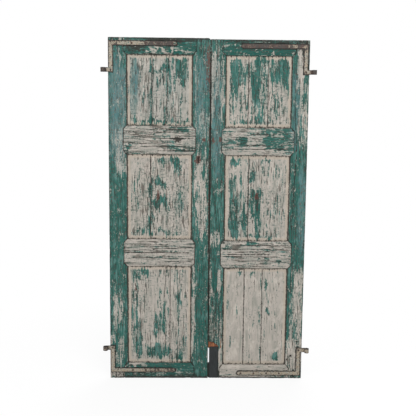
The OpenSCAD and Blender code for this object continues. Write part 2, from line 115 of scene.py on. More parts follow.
# How much of the top coat a part or family of boards has kept, and areas with more or less of it.
TOP_COAT = {
    "left_hinge_stile": (0.77, (
        (-540, 1495, 33, 80, -0.4), (-525, 1345, 33, 84, -0.52), (-590, 1160, 8, 24, -0.4),
        (-545, 465, 34, 140, -0.47), (-585, 255, 14, 42, -0.6), (-535, 170, 31, 90, -0.42),
        (-550, 2055, 41, 20, -0.4), (-555, 18, 44, 18, -0.7), (-500, 1765, 7, 190, -0.3),
        (-527, 1965, 7, 42, -0.45),
    )),
    "left_top_rail": (0.85, (
        (-290, 2023, 112, 7, -0.9), (-275, 2004, 112, 7, -0.9), (-525, 2055, 38, 17, -0.45),
    )),
    "left_meeting_stile": (0.85, (
        (-30, 1545, 40, 116, -0.42), (-80, 1780, 9, 204, -0.4), (-40, 1395, 42, 33, -0.2),
        (-40, 1155, 47, 222, -0.64), (0, 1170, 6, 58, 0.5), (-70, 835, 21, 93, -0.15),
        (-20, 850, 27, 105, -0.35), (-80, 440, 15, 305, -0.6), (-50, 705, 15, 41, -0.3),
    )),
    "left_top_board": (0.0, (
        (-445, 1815, 25, 149, 0.46), (-445, 1630, 15, 35, 0.25), (-285, 1900, 69, 20, 0.42),
        (-340, 1795, 10, 187, 0.3), (-245, 1795, 12, 187, 0.3), (-240, 1940, 15, 29, 0.3),
        (-165, 1910, 36, 49, 0.6), (-155, 1830, 19, 35, 0.5), (-275, 1590, 190, 14, 0.6),
        (-280, 1815, 38, 23, 0.2),
    )),
    "left_upper_middle_rail": (0.02, (
        (-140, 1535, 57, 12, 0.4), (-280, 1500, 57, 9, 0.35), (-475, 1435, 15, 9, 0.4),
        (-175, 1435, 90, 18, 0.3), (-240, 1465, 48, 12, 0.15),
    )),
    "left_middle_board": (-0.04, (
        (-415, 910, 59, 19, 0.42), (-345, 1075, 15, 147, 0.42), (-275, 1370, 21, 13, 0.5),
        (-195, 1350, 27, 30, 0.5), (-180, 1310, 18, 33, 0.3), (-285, 1210, 29, 27, 0.55),
        (-295, 1100, 44, 30, 0.55), (-180, 1105, 36, 85, 0.3), (-235, 915, 80, 18, 0.45),
        (-435, 1145, 24, 113, 0.14),
    )),
    "left_lower_middle_rail": (-0.06, (
        (-255, 800, 92, 56, 0.08),
    )),
    "left_bottom_board": (-0.06, (
        (-420, 668, 62, 30, 0.5), (-440, 460, 23, 146, 0.28), (-430, 240, 26, 108, 0.42),
        (-290, 335, 39, 70, 0.48), (-300, 170, 85, 40, 0.55), (-260, 450, 9, 57, 0.3),
        (-170, 440, 11, 127, 0.26), (-150, 210, 37, 83, 0.26), (-175, 120, 56, 15, 0.4),
    )),
    "left_bottom_rail": (0.72, (
        (-470, 90, 70, 16, -0.8), (-255, 85, 138, 10, 0.2), (-170, 45, 22, 23, -0.35),
        (-560, 20, 44, 23, -0.6),
    )),
    "right_meeting_stile": (0.72, (
        (30, 1970, 13, 101, -0.35), (60, 2010, 18, 55, -0.15), (20, 1765, 6, 190, -0.5),
        (50, 1840, 27, 116, -0.34), (85, 1770, 7, 199, -0.5), (50, 1500, 33, 74, 0.12),
        (50, 885, 35, 56, -0.4), (50, 740, 37, 80, 0.36), (25, 535, 8, 111, -0.5), (75, 635, 14, 82, -0.5),
        (55, 330, 39, 86, -0.44), (17, 800, 5, 420, -0.22), (85, 145, 11, 100, -0.6),
    )),
    "right_top_rail": (0.86, (
        (100, 2020, 22, 29, -0.25), (240, 2021, 150, 4, -0.5), (300, 1988, 170, 4, -0.7),
    )),
    "right_hinge_stile": (0.66, (
        (545, 1905, 22, 108, -0.68), (510, 1695, 15, 323, 0.1), (565, 1595, 36, 198, -0.39),
        (565, 1080, 46, 321, 0.8), (600, 1165, 10, 70, -0.35), (565, 400, 43, 354, -0.46),
        (535, 140, 40, 120, -0.5), (560, 2045, 40, 34, -0.12), (600, 525, 6, 212, 0.5),
        (500, 635, 14, 79, 0.55), (550, 280, 12, 61, 0.3),
    )),
    "right_top_board": (0.12, (
        (110, 1775, 12, 207, -0.15), (160, 1885, 35, 75, 0.34), (220, 1890, 27, 70, 0.2),
        (280, 1805, 25, 117, 0.62), (310, 1945, 44, 22, 0.5), (330, 1810, 25, 117, 0.2),
        (425, 1885, 49, 73, 0.38), (465, 1805, 15, 35, 0.3), (175, 1690, 29, 85, 0.05),
        (210, 1580, 13, 11, 0.5), (320, 1590, 45, 22, 0.25), (285, 1975, 191, 10, -0.4),
    )),
    "right_upper_middle_rail": (0.22, (
        (210, 1470, 21, 29, 0.6), (370, 1485, 36, 21, 0.6), (450, 1485, 32, 21, 0.6),
        (415, 1535, 82, 10, 0.42), (405, 1455, 82, 10, 0.3), (165, 1535, 72, 24, -0.2),
        (140, 1485, 45, 9, 0.2), (295, 1410, 192, 16, -0.15),
    )),
    "right_middle_board": (0.0, (
        (120, 1140, 15, 243, -0.15), (185, 1355, 56, 9, 0.6), (150, 1335, 18, 15, 0.3),
        (340, 1360, 45, 7, 0.55), (155, 1155, 25, 90, 0.38), (165, 980, 30, 92, 0.55),
        (205, 1125, 32, 52, 0.3), (225, 980, 15, 92, 0.5), (270, 1255, 18, 33, 0.45),
        (280, 1160, 29, 33, 0.5), (285, 1075, 32, 49, 0.42), (305, 975, 21, 68, 0.32),
        (320, 900, 79, 15, 0.35), (385, 915, 16, 22, 0.45), (415, 1125, 14, 228, 0.14),
        (455, 1200, 18, 76, 0.16), (485, 1130, 9, 250, -0.15),
    )),
    "right_lower_middle_rail": (0.0, (
        (275, 850, 42, 12, 0.42), (340, 765, 53, 9, 0.42), (440, 745, 15, 23, 0.62),
        (295, 820, 214, 7, 0.2),
    )),
    "right_bottom_board": (-0.16, (
        (195, 680, 20, 16, 0.55), (285, 660, 20, 7, 0.4), (360, 630, 15, 20, 0.45), (370, 515, 6, 95, 0.45),
        (380, 420, 16, 15, 0.55), (430, 145, 20, 24, 1.0), (235, 110, 22, 11, 0.45),
        (135, 460, 18, 146, 0.12), (335, 395, 7, 300, 0.28),
    )),
    "right_bottom_rail": (-0.1, (
        (390, 5, 176, 13, 0.45),
    )),
}
# How strongly those areas stand out from the rest of their part.
PATCHINESS = 1.2
# Areas where light has turned the top coat blue, and, below 0, where it was sheltered and is deep.
BLUE = (
    (-545, 1640, 54, 377, 1.0), (-40, 1750, 50, 322, 0.8), (50, 1600, 34, 380, 0.9), (50, 755, 37, 62, 0.6),
    (515, 1665, 30, 294, 0.8), (-445, 1815, 27, 149, 1.0), (300, 2015, 210, 42, -1.0),
    (-170, 2015, 110, 42, -0.9), (-300, 90, 220, 60, -0.5), (-290, 1775, 190, 205, 0.5),
    (575, 1050, 30, 300, 0.9), (-560, 1050, 40, 300, -0.3), (40, 600, 30, 150, -0.5),
    (-30, 500, 34, 420, -0.4), (285, 1880, 40, 120, -0.4), (270, 1060, 60, 180, -0.4),
)
# Areas stained red-brown by iron or damp.
STAINS = (
    (-5, 1920, 14, 140, 0.65), (-25, 1485, 12, 16, 0.75), (30, 1485, 9, 20, 0.75), (70, 1485, 9, 20, 0.8),
    (40, 1545, 36, 7, 0.5), (-58, 1370, 12, 26, 0.85), (-70, 1355, 16, 14, 0.5), (-300, 1140, 9, 26, 0.9),
    (-300, 1175, 6, 18, 0.5), (295, 1140, 12, 15, 0.95), (295, 1160, 7, 14, 0.6), (-438, 570, 6, 34, 0.6),
    (8, 1150, 7, 620, 0.62), (524, 1380, 5, 420, 0.4), (-583, 1450, 14, 420, 0.3), (40, 1900, 22, 12, 0.4),
)
# Areas darkened with dirt and smoke, and some darkened as painted shade, marked below.
GRIME_AND_SHADE_AREAS = (
    (0, 2084, 593, 9, 0.9), (-190, 2068, 200, 14, 0.55), (330, 2062, 220, 17, 0.7),
    (-445, 2015, 60, 19, 0.45), (-250, 2050, 80, 22, 0.3), (15, 0, 614, 11, 0.9), (-184, 1486, 13, 11, 1.0),
    (-184, 1486, 30, 26, 0.5), (527, 148, 6, 6, 1.0), (504, 122, 4, 9, 0.9), (560, 238, 4, 4, 0.8),
    (-590, 1100, 6, 1000, 0.35), (590, 1200, 6, 880, 0.3), (-560, 2040, 44, 46, 0.42),
    # (-290, 1986) is a painted shadow line under the left top rail, above its panel.
    (-440, 2008, 60, 20, 0.2), (-290, 1986, 200, 5, 0.6), (555, 2035, 44, 46, 0.32),
    # (11.5, 1120) and (15, 45) run down the seam between the leaves: painted shade in the gap, with dirt.
    (11.5, 1120, 5.6, 990, 1.0), (15, 45, 6, 62, 1.0), (-58, 1366, 7, 20, 0.8), (560, 2000, 12, 40, 0.25),
    (50, 330, 36, 90, 0.1), (-530, 60, 60, 50, 0.22), (530, 60, 60, 50, 0.22), (-290, 22, 290, 16, 0.42),
)
# How crackled the coats are on a part or family of boards, from 0 to 1, and on all others.
CRACKLE = {
    "left_top_board": 0.38, "left_middle_board": 0.41, "left_bottom_board": 0.35,
    "left_upper_middle_rail": 0.45, "left_lower_middle_rail": 0.44, "right_top_board": 0.32,
    "right_middle_board": 0.34, "right_bottom_board": 0.21, "right_upper_middle_rail": 0.36,
    "right_lower_middle_rail": 0.4, "right_bottom_rail": 0.26, "right_meeting_stile": 0.34,
}
PLAIN_CRACKLE = 0.3
# Areas with more cracks, or, below 0, with fewer.
CLEAN = (
    (50, 330, 42, 110, 0.24), (420, 1290, 60, 60, -0.3), (200, 1290, 45, 70, -0.25),
    (310, 1000, 22, 40, -0.25), (-440, 1330, 40, 40, -0.25), (-270, 500, 60, 120, -0.2),
    (200, 250, 90, 220, -0.15), (-70, 1130, 24, 190, -0.2), (-135, 1720, 30, 100, -0.1),
)
# The width in mm of the strip of smoother under coat that runs round inside each panel.
BORDER = 21

# Splits, worn hollows and empty nail holes that are large enough to see, in millimetres: the middle
# across and up, then length, width, depth and lean for a split; half width, half height, depth and
# turn for a hollow; radius and depth for a hole.
SPLITS = {
    "left_upper_middle_rail": (
        (-330, 1528, 300, 1.6, 3.5, 0.0), (-250, 1493, 330, 1.6, 3.5, 0.0),
        (-360, 1463, 240, 1.5, 3.0, 0.01), (-180, 1421, 250, 1.6, 3.5, 0.01),
        (-390, 1510, 150, 1.4, 3.0, 0.0), (-260, 1443, 300, 1.4, 3.0, 0.0),
        (-300, 1545, 340, 1.3, 3.0, 0.0),
    ),
    "left_lower_middle_rail": (
        (-200, 826, 260, 1.7, 4.0, 0.03), (-300, 797, 380, 1.8, 4.0, 0.0), (-350, 845, 240, 1.4, 3.0, 0.0),
        (-330, 765, 260, 1.5, 3.0, -0.01), (-200, 742, 200, 1.3, 3.0, 0.0),
        (-380, 813, 160, 1.3, 3.0, 0.01),
    ),
    "left_bottom_board_1": ((-256, 605, 200, 1.8, 4.0, 0.08), (-432, 572, 70, 2.2, 4.0, -0.3),),
    "right_upper_middle_rail": (
        (294, 1433, 390, 2.0, 4.0, 0.0), (330, 1520, 150, 1.6, 3.5, 0.0), (180, 1499, 120, 1.6, 3.5, 0.0),
        (180, 1486, 120, 1.6, 3.5, 0.0), (250, 1455, 200, 1.5, 3.0, 0.0),
    ),
    "right_lower_middle_rail": (
        (293, 822, 410, 2.2, 4.5, 0.0), (250, 790, 260, 1.6, 3.5, 0.01), (310, 748, 300, 1.5, 3.5, 0.0),
        (260, 775, 340, 1.4, 3.0, 0.0), (330, 845, 300, 1.5, 3.0, 0.0), (300, 806, 240, 1.3, 3.0, 0.0),
    ),
    "right_hinge_stile": (
        (522, 1174, 460, 1.8, 4.0, 0.038), (523, 1555, 280, 2.0, 4.0, -0.055),
        (518, 640, 220, 1.5, 3.5, 0.02),
    ),
}
HOLLOWS = {
    "left_upper_middle_rail": ((-182, 1487, 12, 9, 3.5, 0.0),),
    "left_lower_middle_rail": ((-159, 767, 9, 6, 2.5, 0.0),),
    "left_meeting_stile": ((-56, 1368, 5, 25, 4.5, -0.34), (-38, 560, 5, 9, 3.0, 0.0),),
    "right_hinge_stile": ((554, 687, 22, 5, 3.5, 0.0),),
}
NAIL_HOLES = {
    "right_hinge_stile": ((527, 148, 4.5, 10), (504, 122, 3.2, 8), (560, 238, 2.6, 8),),
}

# How much cream and teal paint each strap has kept, and areas with more or less cream.
STRAP_PAINT = {
    "left_lower_strap": (0.56, -0.1), "left_upper_strap": (0.54, -0.02), "right_lower_strap": (0.66, -0.2),
    "right_upper_strap": (-0.2, -0.15),
}
STRAP_AREAS = {
    "left_lower_strap": ((-290, 52, 115, 22, -0.4),),
    "left_upper_strap": ((-285, 2047, 100, 22, -0.6), (-560, 2045, 50, 30, -0.35),),
    "right_upper_strap": ((574, 1945, 24, 80, 0.65), (500, 2037, 34, 20, 0.35),),
}
# The straps' eyes start this far from the middle of the door, in mm, and have kept this much cream.
EYE_START = 604
EYE_CREAM = {
    "left_lower_strap": 0.0, "left_upper_strap": -0.2, "right_lower_strap": 0.4, "right_upper_strap": -0.3,
}


# ---------------------------------------------------------------- settings

def linear(code):
    """Turns an sRGB hex colour, such as "#476760", to linear red, green and blue."""
    parts = [int(code[i:i + 2], 16) / 255 for i in (1, 3, 5)]
    return tuple(p / 12.92 if p <= 0.04045 else ((p + 0.055) / 1.055) ** 2.4 for p in parts)


def colour(name, description, code):
    """A colour setting with its default given as an sRGB hex code."""
    return bpy.props.FloatVectorProperty(
        name=name, description=description, default=linear(code), subtype="COLOR", size=3, min=0, max=1)


def length(name, description, default, least=0):
    """A length setting, in metres."""
    return bpy.props.FloatProperty(
        name=name, description=description, default=default, min=least, unit="LENGTH")


def turn(name, description, degrees):
    """An angle setting with its default given in degrees."""
    return bpy.props.FloatProperty(
        name=name, description=description, default=math.radians(degrees), subtype="ANGLE", unit="ROTATION")


def power(name, description, watts):
    """A setting for a lamp's power."""
    return bpy.props.FloatProperty(name=name, description=description, default=watts, unit="POWER")


class DoorTimber(bpy.types.PropertyGroup):
    """Sizes of the wear on the timber."""

    step_along: length("Step along the grain", "Length of the mesh's faces along the grain", 0.012, 0.004)
    step_across: length("Step across the grain", "Width of the mesh's faces across the grain", 0.0048, 0.002)
    arris_wear: length("Arris wear", "How far the sharp edges have worn back", 0.0011)
    chip_depth: length("Chip depth", "Depth of the deepest chips knocked out of the edges", 0.0030)
    furrow_depth: length("Furrow depth", "Depth of the soft grain that weather has washed out", 0.0005)
    cupping: length("Cupping", "How far a board's face has hollowed between its edges", 0.0009)
    splits: bpy.props.IntProperty(
        name="Splits in a part", description="Drying splits along the grain of each part",
        default=1, min=0, max=12)


class DoorPaint(bpy.types.PropertyGroup):
    """Colours of the two coats of paint, of the wood under them and of the tarred slip."""

    teal_mid: colour("Teal", "The top coat, where it is whole", "#25574f")
    teal_deep: colour("Deep teal", "The top coat in its brush furrows", "#183f38")
    teal_pale: colour("Worn teal", "The top coat where it has chalked", "#4a706a")
    teal_blue: colour("Blue teal", "The top coat where the light has turned it blue", "#4a6d70")
    teal_new: colour("Sheltered teal", "The top coat where it was sheltered from the weather", "#0c473f")
    cream_mid: colour("Cream", "The under coat, aged to a warm grey", "#9b958d")
    cream_pale: colour("Pale cream", "The under coat where it is cleanest", "#b0a89f")
    cream_warm: colour(
        "Warm cream paint", "Cream gone warm and yellow round the edges of the panels", "#9d9080")
    cream_grey: colour("Grey cream", "The under coat with dirt in its grain", "#84837b")
    wood_mid: colour("Weathered pine", "Bare grey-brown wood", "#6f675b")
    wood_dark: colour("Dark grain", "Late wood and open cracks", "#3b3831")
    # Also the colour of the painted shade in the seam, under the left top rail, round the panels and beside
    # the straps.
    soil_and_shade: colour("Soil", "Old dirt in the joints", "#231f1b")
    stain: colour("Rust stain", "Red-brown stain round iron and wet wood", "#55332c")
    purple: colour("Red-brown flecks", "Primer and dirt that show as flecks in the top coat", "#54423f")
    fresh: colour("Fresh break", "Raw wood in the break at the foot", "#96603c")
    tar_deep: colour("Deep tar", "The slip between its saw lines", "#0d1011")
    tar_mid: colour("Tar", "The slip along its saw lines", "#1c2122")
    tar_worn: colour("Worn tar", "The slip where the tar has thinned", "#262c2e")
    tar_dust: colour("Dust", "Specks of dust on the slip", "#45443f")


class DoorIron(bpy.types.PropertyGroup):
    """Colours and sizes of the ironwork."""

    iron: colour("Iron", "Dark scaled iron", "#332f2c")
    rust: colour("Rust", "Red-brown rust", "#4b3831")
    rust_pale: colour("Pale rust", "Dry powdery rust", "#77614c")
    cream: colour("Old cream paint", "Cream paint left on the straps", "#918370")
    hammer_depth: length("Hammer marks", "Depth of the hammer marks on the straps", 0.0007)


class DoorStudio(bpy.types.PropertyGroup):
    """Camera and lamps."""

    eye: bpy.props.FloatVectorProperty(
        name="Camera place", description="Where the camera stands", default=(-0.084, -4.260, 1.651),
        subtype="TRANSLATION", unit="LENGTH", size=3)
    pitch: turn("Looks down", "How far the camera looks down", 7.723)
    yaw: turn("Looks right", "How far the camera is turned to the right", 1.159)
    roll: turn("Roll", "How far the camera leans to the left", 0.573)
    lens: bpy.props.FloatProperty(
        name="Lens", description="Focal length", default=61.36, min=10, unit="CAMERA")
    key_power: power("Key lamp", "Power of the large lamp high in front", 140)
    fill_power: power("Fill lamp", "Power of the lamp at the left", 60)
    back_power: power("Back lamp", "Power of the lamp behind the door", 120)
    air: bpy.props.FloatProperty(
        name="Soft light", description="Strength of the even light from all round", default=0.55, min=0)


# ---------------------------------------------------------------- working on meshes

def only(*things):
    """Selects these objects and nothing else, and makes the first the active one."""
    bpy.ops.object.select_all(action="DESELECT")
    for thing in things:
        thing.select_set(True)
    if things:
        bpy.context.view_layer.objects.active = things[0]


@contextmanager
def editing(select="SELECT"):
    """Edit mode with all of the mesh selected, none of it, or, given None, what already is."""
    bpy.ops.object.mode_set(mode="EDIT")
    if select:
        bpy.ops.mesh.select_all(action=select)
    yield
    bpy.ops.object.mode_set(mode="OBJECT")


def solid_copy(node, name):
    """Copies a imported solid, and merges its loose triangles into whole faces."""
    only(frame["nodes"][node])
    bpy.ops.object.duplicate()
    piece = bpy.context.active_object
    piece.name = piece.data.name = name
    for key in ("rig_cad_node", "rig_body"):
        del piece[key]
    with editing():
        bpy.ops.mesh.remove_doubles(threshold=MERGE_GAP)
        bpy.ops.mesh.dissolve_limited(angle_limit=FLAT)
    return piece


def stands_for(piece, node):
    """Hangs a finished piece on its leaf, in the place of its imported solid."""
    leaf = "left_leaf" if node.startswith("left") else "right_leaf"
    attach(piece, leaf)
    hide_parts(node)


def points(piece, what="co"):
    """The piece's points as rows of x, y, z in metres, or, for "normal", their outward directions."""
    flat = np.zeros(len(piece.data.vertices) * 3)
    piece.data.vertices.foreach_get(what, flat)
    return flat.reshape(-1, 3)


def corners(node):
    """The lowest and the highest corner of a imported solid's box, in metres."""
    return [np.array(corner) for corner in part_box(node)]


def place(piece, co):
    """Puts the piece's points at co."""
    piece.data.vertices.foreach_set("co", np.asarray(co).ravel())
    piece.data.update()


def wear_back(piece, node, depth):
    """Moves the piece's points in by depth, in metres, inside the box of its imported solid."""
    worn = points(piece) - points(piece, "normal") * np.clip(depth, 0, None)[:, None]
    place(piece, np.clip(worn, *corners(node)))


def face_outwards(piece):
    """Turns all the faces of a closed shape outwards."""
    only(piece)
    with editing():
        bpy.ops.mesh.normals_make_consistent(inside=False)


def round_edges(piece, width, sharpest=30):
    """Rounds the edges sharper than an angle in degrees with a bevel, its width in mm."""
    only(piece)
    bevel = piece.modifiers.new("bevel", "BEVEL")
    bevel.width, bevel.segments, bevel.limit_method = width * MM, 2, "ANGLE"
    bevel.angle_limit = math.radians(sharpest)
    bpy.ops.object.modifier_apply(modifier=bevel.name)


def paint_on(piece, **layers):
    """Writes a number for each point, or one for all, to each named layer, for the finish to read."""
    for name, values in layers.items():
        layer = piece.data.attributes.get(name) or piece.data.attributes.new(name, "FLOAT", "POINT")
        layer.data.foreach_set("value", np.full(len(piece.data.vertices), values, np.float32))


def rough(co, size, seed, octaves=3):
    """Smooth noise from about -1 to 1 at each point; size gives its grain in metres, by axis or for all."""
    shift = Vector((seed * 7.31, seed * 3.17, seed * 5.73))
    return np.array([
        noise.fractal(Vector(row) + shift, 0.9, 2.1, octaves, noise_basis="PERLIN_ORIGINAL")
        for row in co / np.asarray(size)])


def ease(values, low, high):
    """0 below low, 1 above high, and a smooth step between."""
    t = np.clip((np.asarray(values) - low) / (high - low), 0, 1)
    return t * t * (3 - 2 * t)


def corner_lines(piece):
    """Where the piece's long straight edges cross each of the three axes."""
    co = points(piece)
    found = (set(), set(), set())
    for edge in piece.data.edges:
        a, b = co[edge.vertices[0]], co[edge.vertices[1]]
        if np.linalg.norm(a - b) > LONG_EDGE:
            for axis in range(3):
                if abs(a[axis] - b[axis]) < 1e-5:
                    found[axis].add(round(float(a[axis]), 4))
    return [sorted(lines) for lines in found]


def slice_up(piece, axis, step, lines, beside=BESIDE):
    """Cuts the piece's faces across an axis: evenly, and close beside each corner line."""
    only(piece)
    co = points(piece)[:, axis]
    low, high = co.min(), co.max()
    count = max(1, math.ceil((high - low) / step))
    wanted = [line + side * gap for line in lines for gap in beside for side in (-1, 1)]
    even = [low + (high - low) * i / count for i in range(1, count)]
    kept = []
    for at in wanted + even:
        clear = 0.0008 if at in wanted else 0.45 * step
        if low + 0.0005 < at < high - 0.0005 and all(abs(at - other) > clear for other in lines + kept):
            kept.append(at)
    spot, normal = [0, 0, 0], [0, 0, 0]
    normal[axis] = 1
    with editing():
        for at in kept:
            spot[axis] = at
            bpy.ops.mesh.select_all(action="SELECT")
            bpy.ops.mesh.bisect(plane_co=spot, plane_no=normal)


def arrises(piece):
    """A tree of spots 2 mm apart along the piece's sharp edges, for nearness to look up."""
    only(piece)
    with editing("DESELECT"):
        bpy.ops.mesh.select_mode(type="EDGE")
        bpy.ops.mesh.edges_select_sharp(sharpness=SHARP)
    co = points(piece)
    spots = []
    for edge in piece.data.edges:
        if edge.select:
            a, b = co[edge.vertices[0]], co[edge.vertices[1]]
            count = int(np.linalg.norm(b - a) / 0.002) + 2
            spots.extend(a + (b - a) * t for t in np.linspace(0, 1, count))
    tree = kdtree.KDTree(len(spots))
    for i, spot in enumerate(spots):
        tree.insert(spot, i)
    tree.balance()
    return tree


def nearness(co, tree, reach=0.005):
    """1 at the points on the sharp edges that the tree holds, falling to 0 at reach from them."""
    return np.clip(1 - np.array([tree.find(p)[2] for p in co]) / reach, 0, 1)


def cut_with(piece, cutters):
    """Takes the cutters' shapes out of the piece, and throws the cutters away."""
    if not cutters:
        return
    only(*cutters)
    if len(cutters) > 1:
        bpy.ops.object.join()
    tool = bpy.context.active_object
    only(piece)
    taken = piece.modifiers.new("cut", "BOOLEAN")
    taken.operation, taken.solver, taken.object = "DIFFERENCE", "EXACT", tool
    taken.use_self = True
    bpy.ops.object.modifier_apply(modifier=taken.name)
    bpy.data.objects.remove(tool)


def wander(t, seed):
    """How far a split strays from a straight line, in mm, at each place from -1 to 1 along it."""
    return np.array([noise.noise(Vector((seed * 3.7, s * 1.7, 0.5))) for s in t]) * SPLIT_STRAY


def split_dirt(co, node, along):
    """1 at the points on the part's listed splits, where dirt has gathered, and 0 elsewhere."""
    x, z = co[:, 0] / MM, co[:, 2] / MM
    dirt = np.zeros(len(co))
    for mid_x, mid_z, long, _, _, lean in SPLITS.get(node, ()):
        run, off = (x - mid_x, z - mid_z) if along == "x" else (z - mid_z, x - mid_x)
        t = run / (long / 2)
        on = np.abs(t) < 1
        far = np.full(len(co), 99.0)
        far[on] = np.abs(off[on] - wander(t[on], mid_x * 0.1) - lean * run[on])
        dirt = np.maximum(dirt, 1 - ease(far, *SPLIT_DIRT))
    return dirt


def split_cutter(x, z, long, wide, deep, along, lean, face, seed):
    """A long thin wedge that cuts one drying split, tapering and wandering along the grain."""
    only()
    bpy.ops.mesh.primitive_cylinder_add(vertices=4, radius=1, depth=2)
    cutter = bpy.context.active_object
    with editing():
        for i in range(1, 12):
            bpy.ops.mesh.select_all(action="SELECT")
            bpy.ops.mesh.bisect(plane_co=(0, 0, -1 + i / 6), plane_no=(0, 0, 1))
    co = points(cutter)
    t = co[:, 2].copy()
    full = 0.12 + 0.88 * (1 - np.abs(t) ** 2.2)
    off = co[:, 0] * wide / 2 * full + wander(t, seed) + lean * t * long / 2
    run = t * long / 2
    across, up = (off, run) if along == "z" else (run, off)
    place(cutter, np.stack([x + across, face + co[:, 1] * deep * full, z + up], axis=1) * MM)
    face_outwards(cutter)
    return cutter


def hollow_cutter(x, z, half_x, half_z, deep, face, lean):
    """A squashed ball that hollows out a knot, a gouge or a dent in a face."""
    only()
    bpy.ops.mesh.primitive_ico_sphere_add(subdivisions=3, radius=1)
    cutter = bpy.context.active_object
    co = points(cutter)
    co *= (1 + 0.14 * rough(co, 0.5, x * 0.01))[:, None]
    across, up = co[:, 0] * half_x, co[:, 2] * half_z
    made = np.stack([x + across * math.cos(lean) - up * math.sin(lean), face + co[:, 1] * deep,
                     z + across * math.sin(lean) + up * math.cos(lean)], axis=1)
    place(cutter, made * MM)
    return cutter


def hole_cutter(x, z, radius, deep, face):
    """A small round tool for an empty nail hole."""
    only()
    bpy.ops.mesh.primitive_cylinder_add(
        vertices=12, radius=radius * MM, depth=2 * deep * MM,
        location=(x * MM, face * MM, z * MM), rotation=(math.pi / 2, 0, 0))
    bpy.ops.object.transform_apply(location=True, rotation=True, scale=True)
    return bpy.context.active_object


# ---------------------------------------------------------------- finishes

def feed(tree, node, inputs):
    """Gives a node's inputs their values, or links them from other nodes' outputs."""
    for key, value in inputs.items():
        socket = node.inputs[key]
        if isinstance(value, bpy.types.NodeSocket):
            tree.links.new(value, socket)
        else:
            socket.default_value = (*value[:3], 1.0) if socket.type == "RGBA" else value


def add(tree, kind, inputs=None, **settings):
    """Adds a node with its settings. An input is a value, or another node's output to link from."""
    made = tree.nodes.new(kind)
    for name, value in settings.items():
        setattr(made, name, value)
    feed(tree, made, inputs or {})
    return made


def new_finish(name):
    """An empty material, with its node tree and its surface shader."""
    finish = bpy.data.materials.new(name)
    finish.use_nodes = True
    return finish, finish.node_tree, finish.node_tree.nodes["Principled BSDF"]


def patterns(tree, along, sizes, layers=()):
    """Noises stretched along the grain, and the layers painted on the mesh, by name.

    sizes gives each noise's width in mm, its stretch and its detail.
    """
    place_of = add(tree, "ShaderNodeTexCoord").outputs["Object"]
    n = {key: add(tree, "ShaderNodeAttribute", attribute_name=key).outputs["Fac"]
         for key in ("plank", *layers)}
    for key, (width, stretch, detail) in sizes.items():
        scale = (1 / stretch, 1, 1) if along == "x" else (1, 1, 1 / stretch)
        drawn = add(tree, "ShaderNodeMapping", {"Vector": place_of, "Scale": scale}).outputs[0]
        n[key] = add(tree, "ShaderNodeTexNoise", {
            "Vector": drawn, "W": n["plank"], "Scale": 1 / (width * MM), "Detail": detail,
            "Roughness": 0.6}, noise_dimensions="4D").outputs["Fac"]
    return n


def weighed(tree, n, start, **weights):
    """start, plus each named pattern's swing about its middle times its weight."""
    total = start
    for name, weight in weights.items():
        total = add(tree, "ShaderNodeMath", {0: n[name], 1: weight, 2: total},
                    operation="MULTIPLY_ADD").outputs[0]
        total = add(tree, "ShaderNodeMath", {0: total, 1: weight / 2}, operation="SUBTRACT").outputs[0]
    return total


def coat_left(tree, n, start, low, high, **weights):
    """How much of a coat is left, from 0 to 1, with its edges broken up by the weighed patterns."""
    return add(tree, "ShaderNodeMapRange", {0: weighed(tree, n, start, **weights), 1: low, 2: high},
               interpolation_type="SMOOTHSTEP").outputs[0]


def build_up(tree, ground, *coats):
    """Lays coats over a ground colour, one after another.

    Each is a colour, its pattern, the pattern's value where it doesn't show and where it shows most,
    and how much it then covers.
    """
    for over, where, low, high, *most in coats:
        share = add(tree, "ShaderNodeMapRange", {0: where, 1: low, 2: high, 3: 0.0, 4: (*most, 1.0)[0]},
                    interpolation_type="SMOOTHSTEP").outputs[0]
        ground = add(tree, "ShaderNodeMix", {0: share, 6: ground, 7: over}, data_type="RGBA").outputs[2]
    return ground


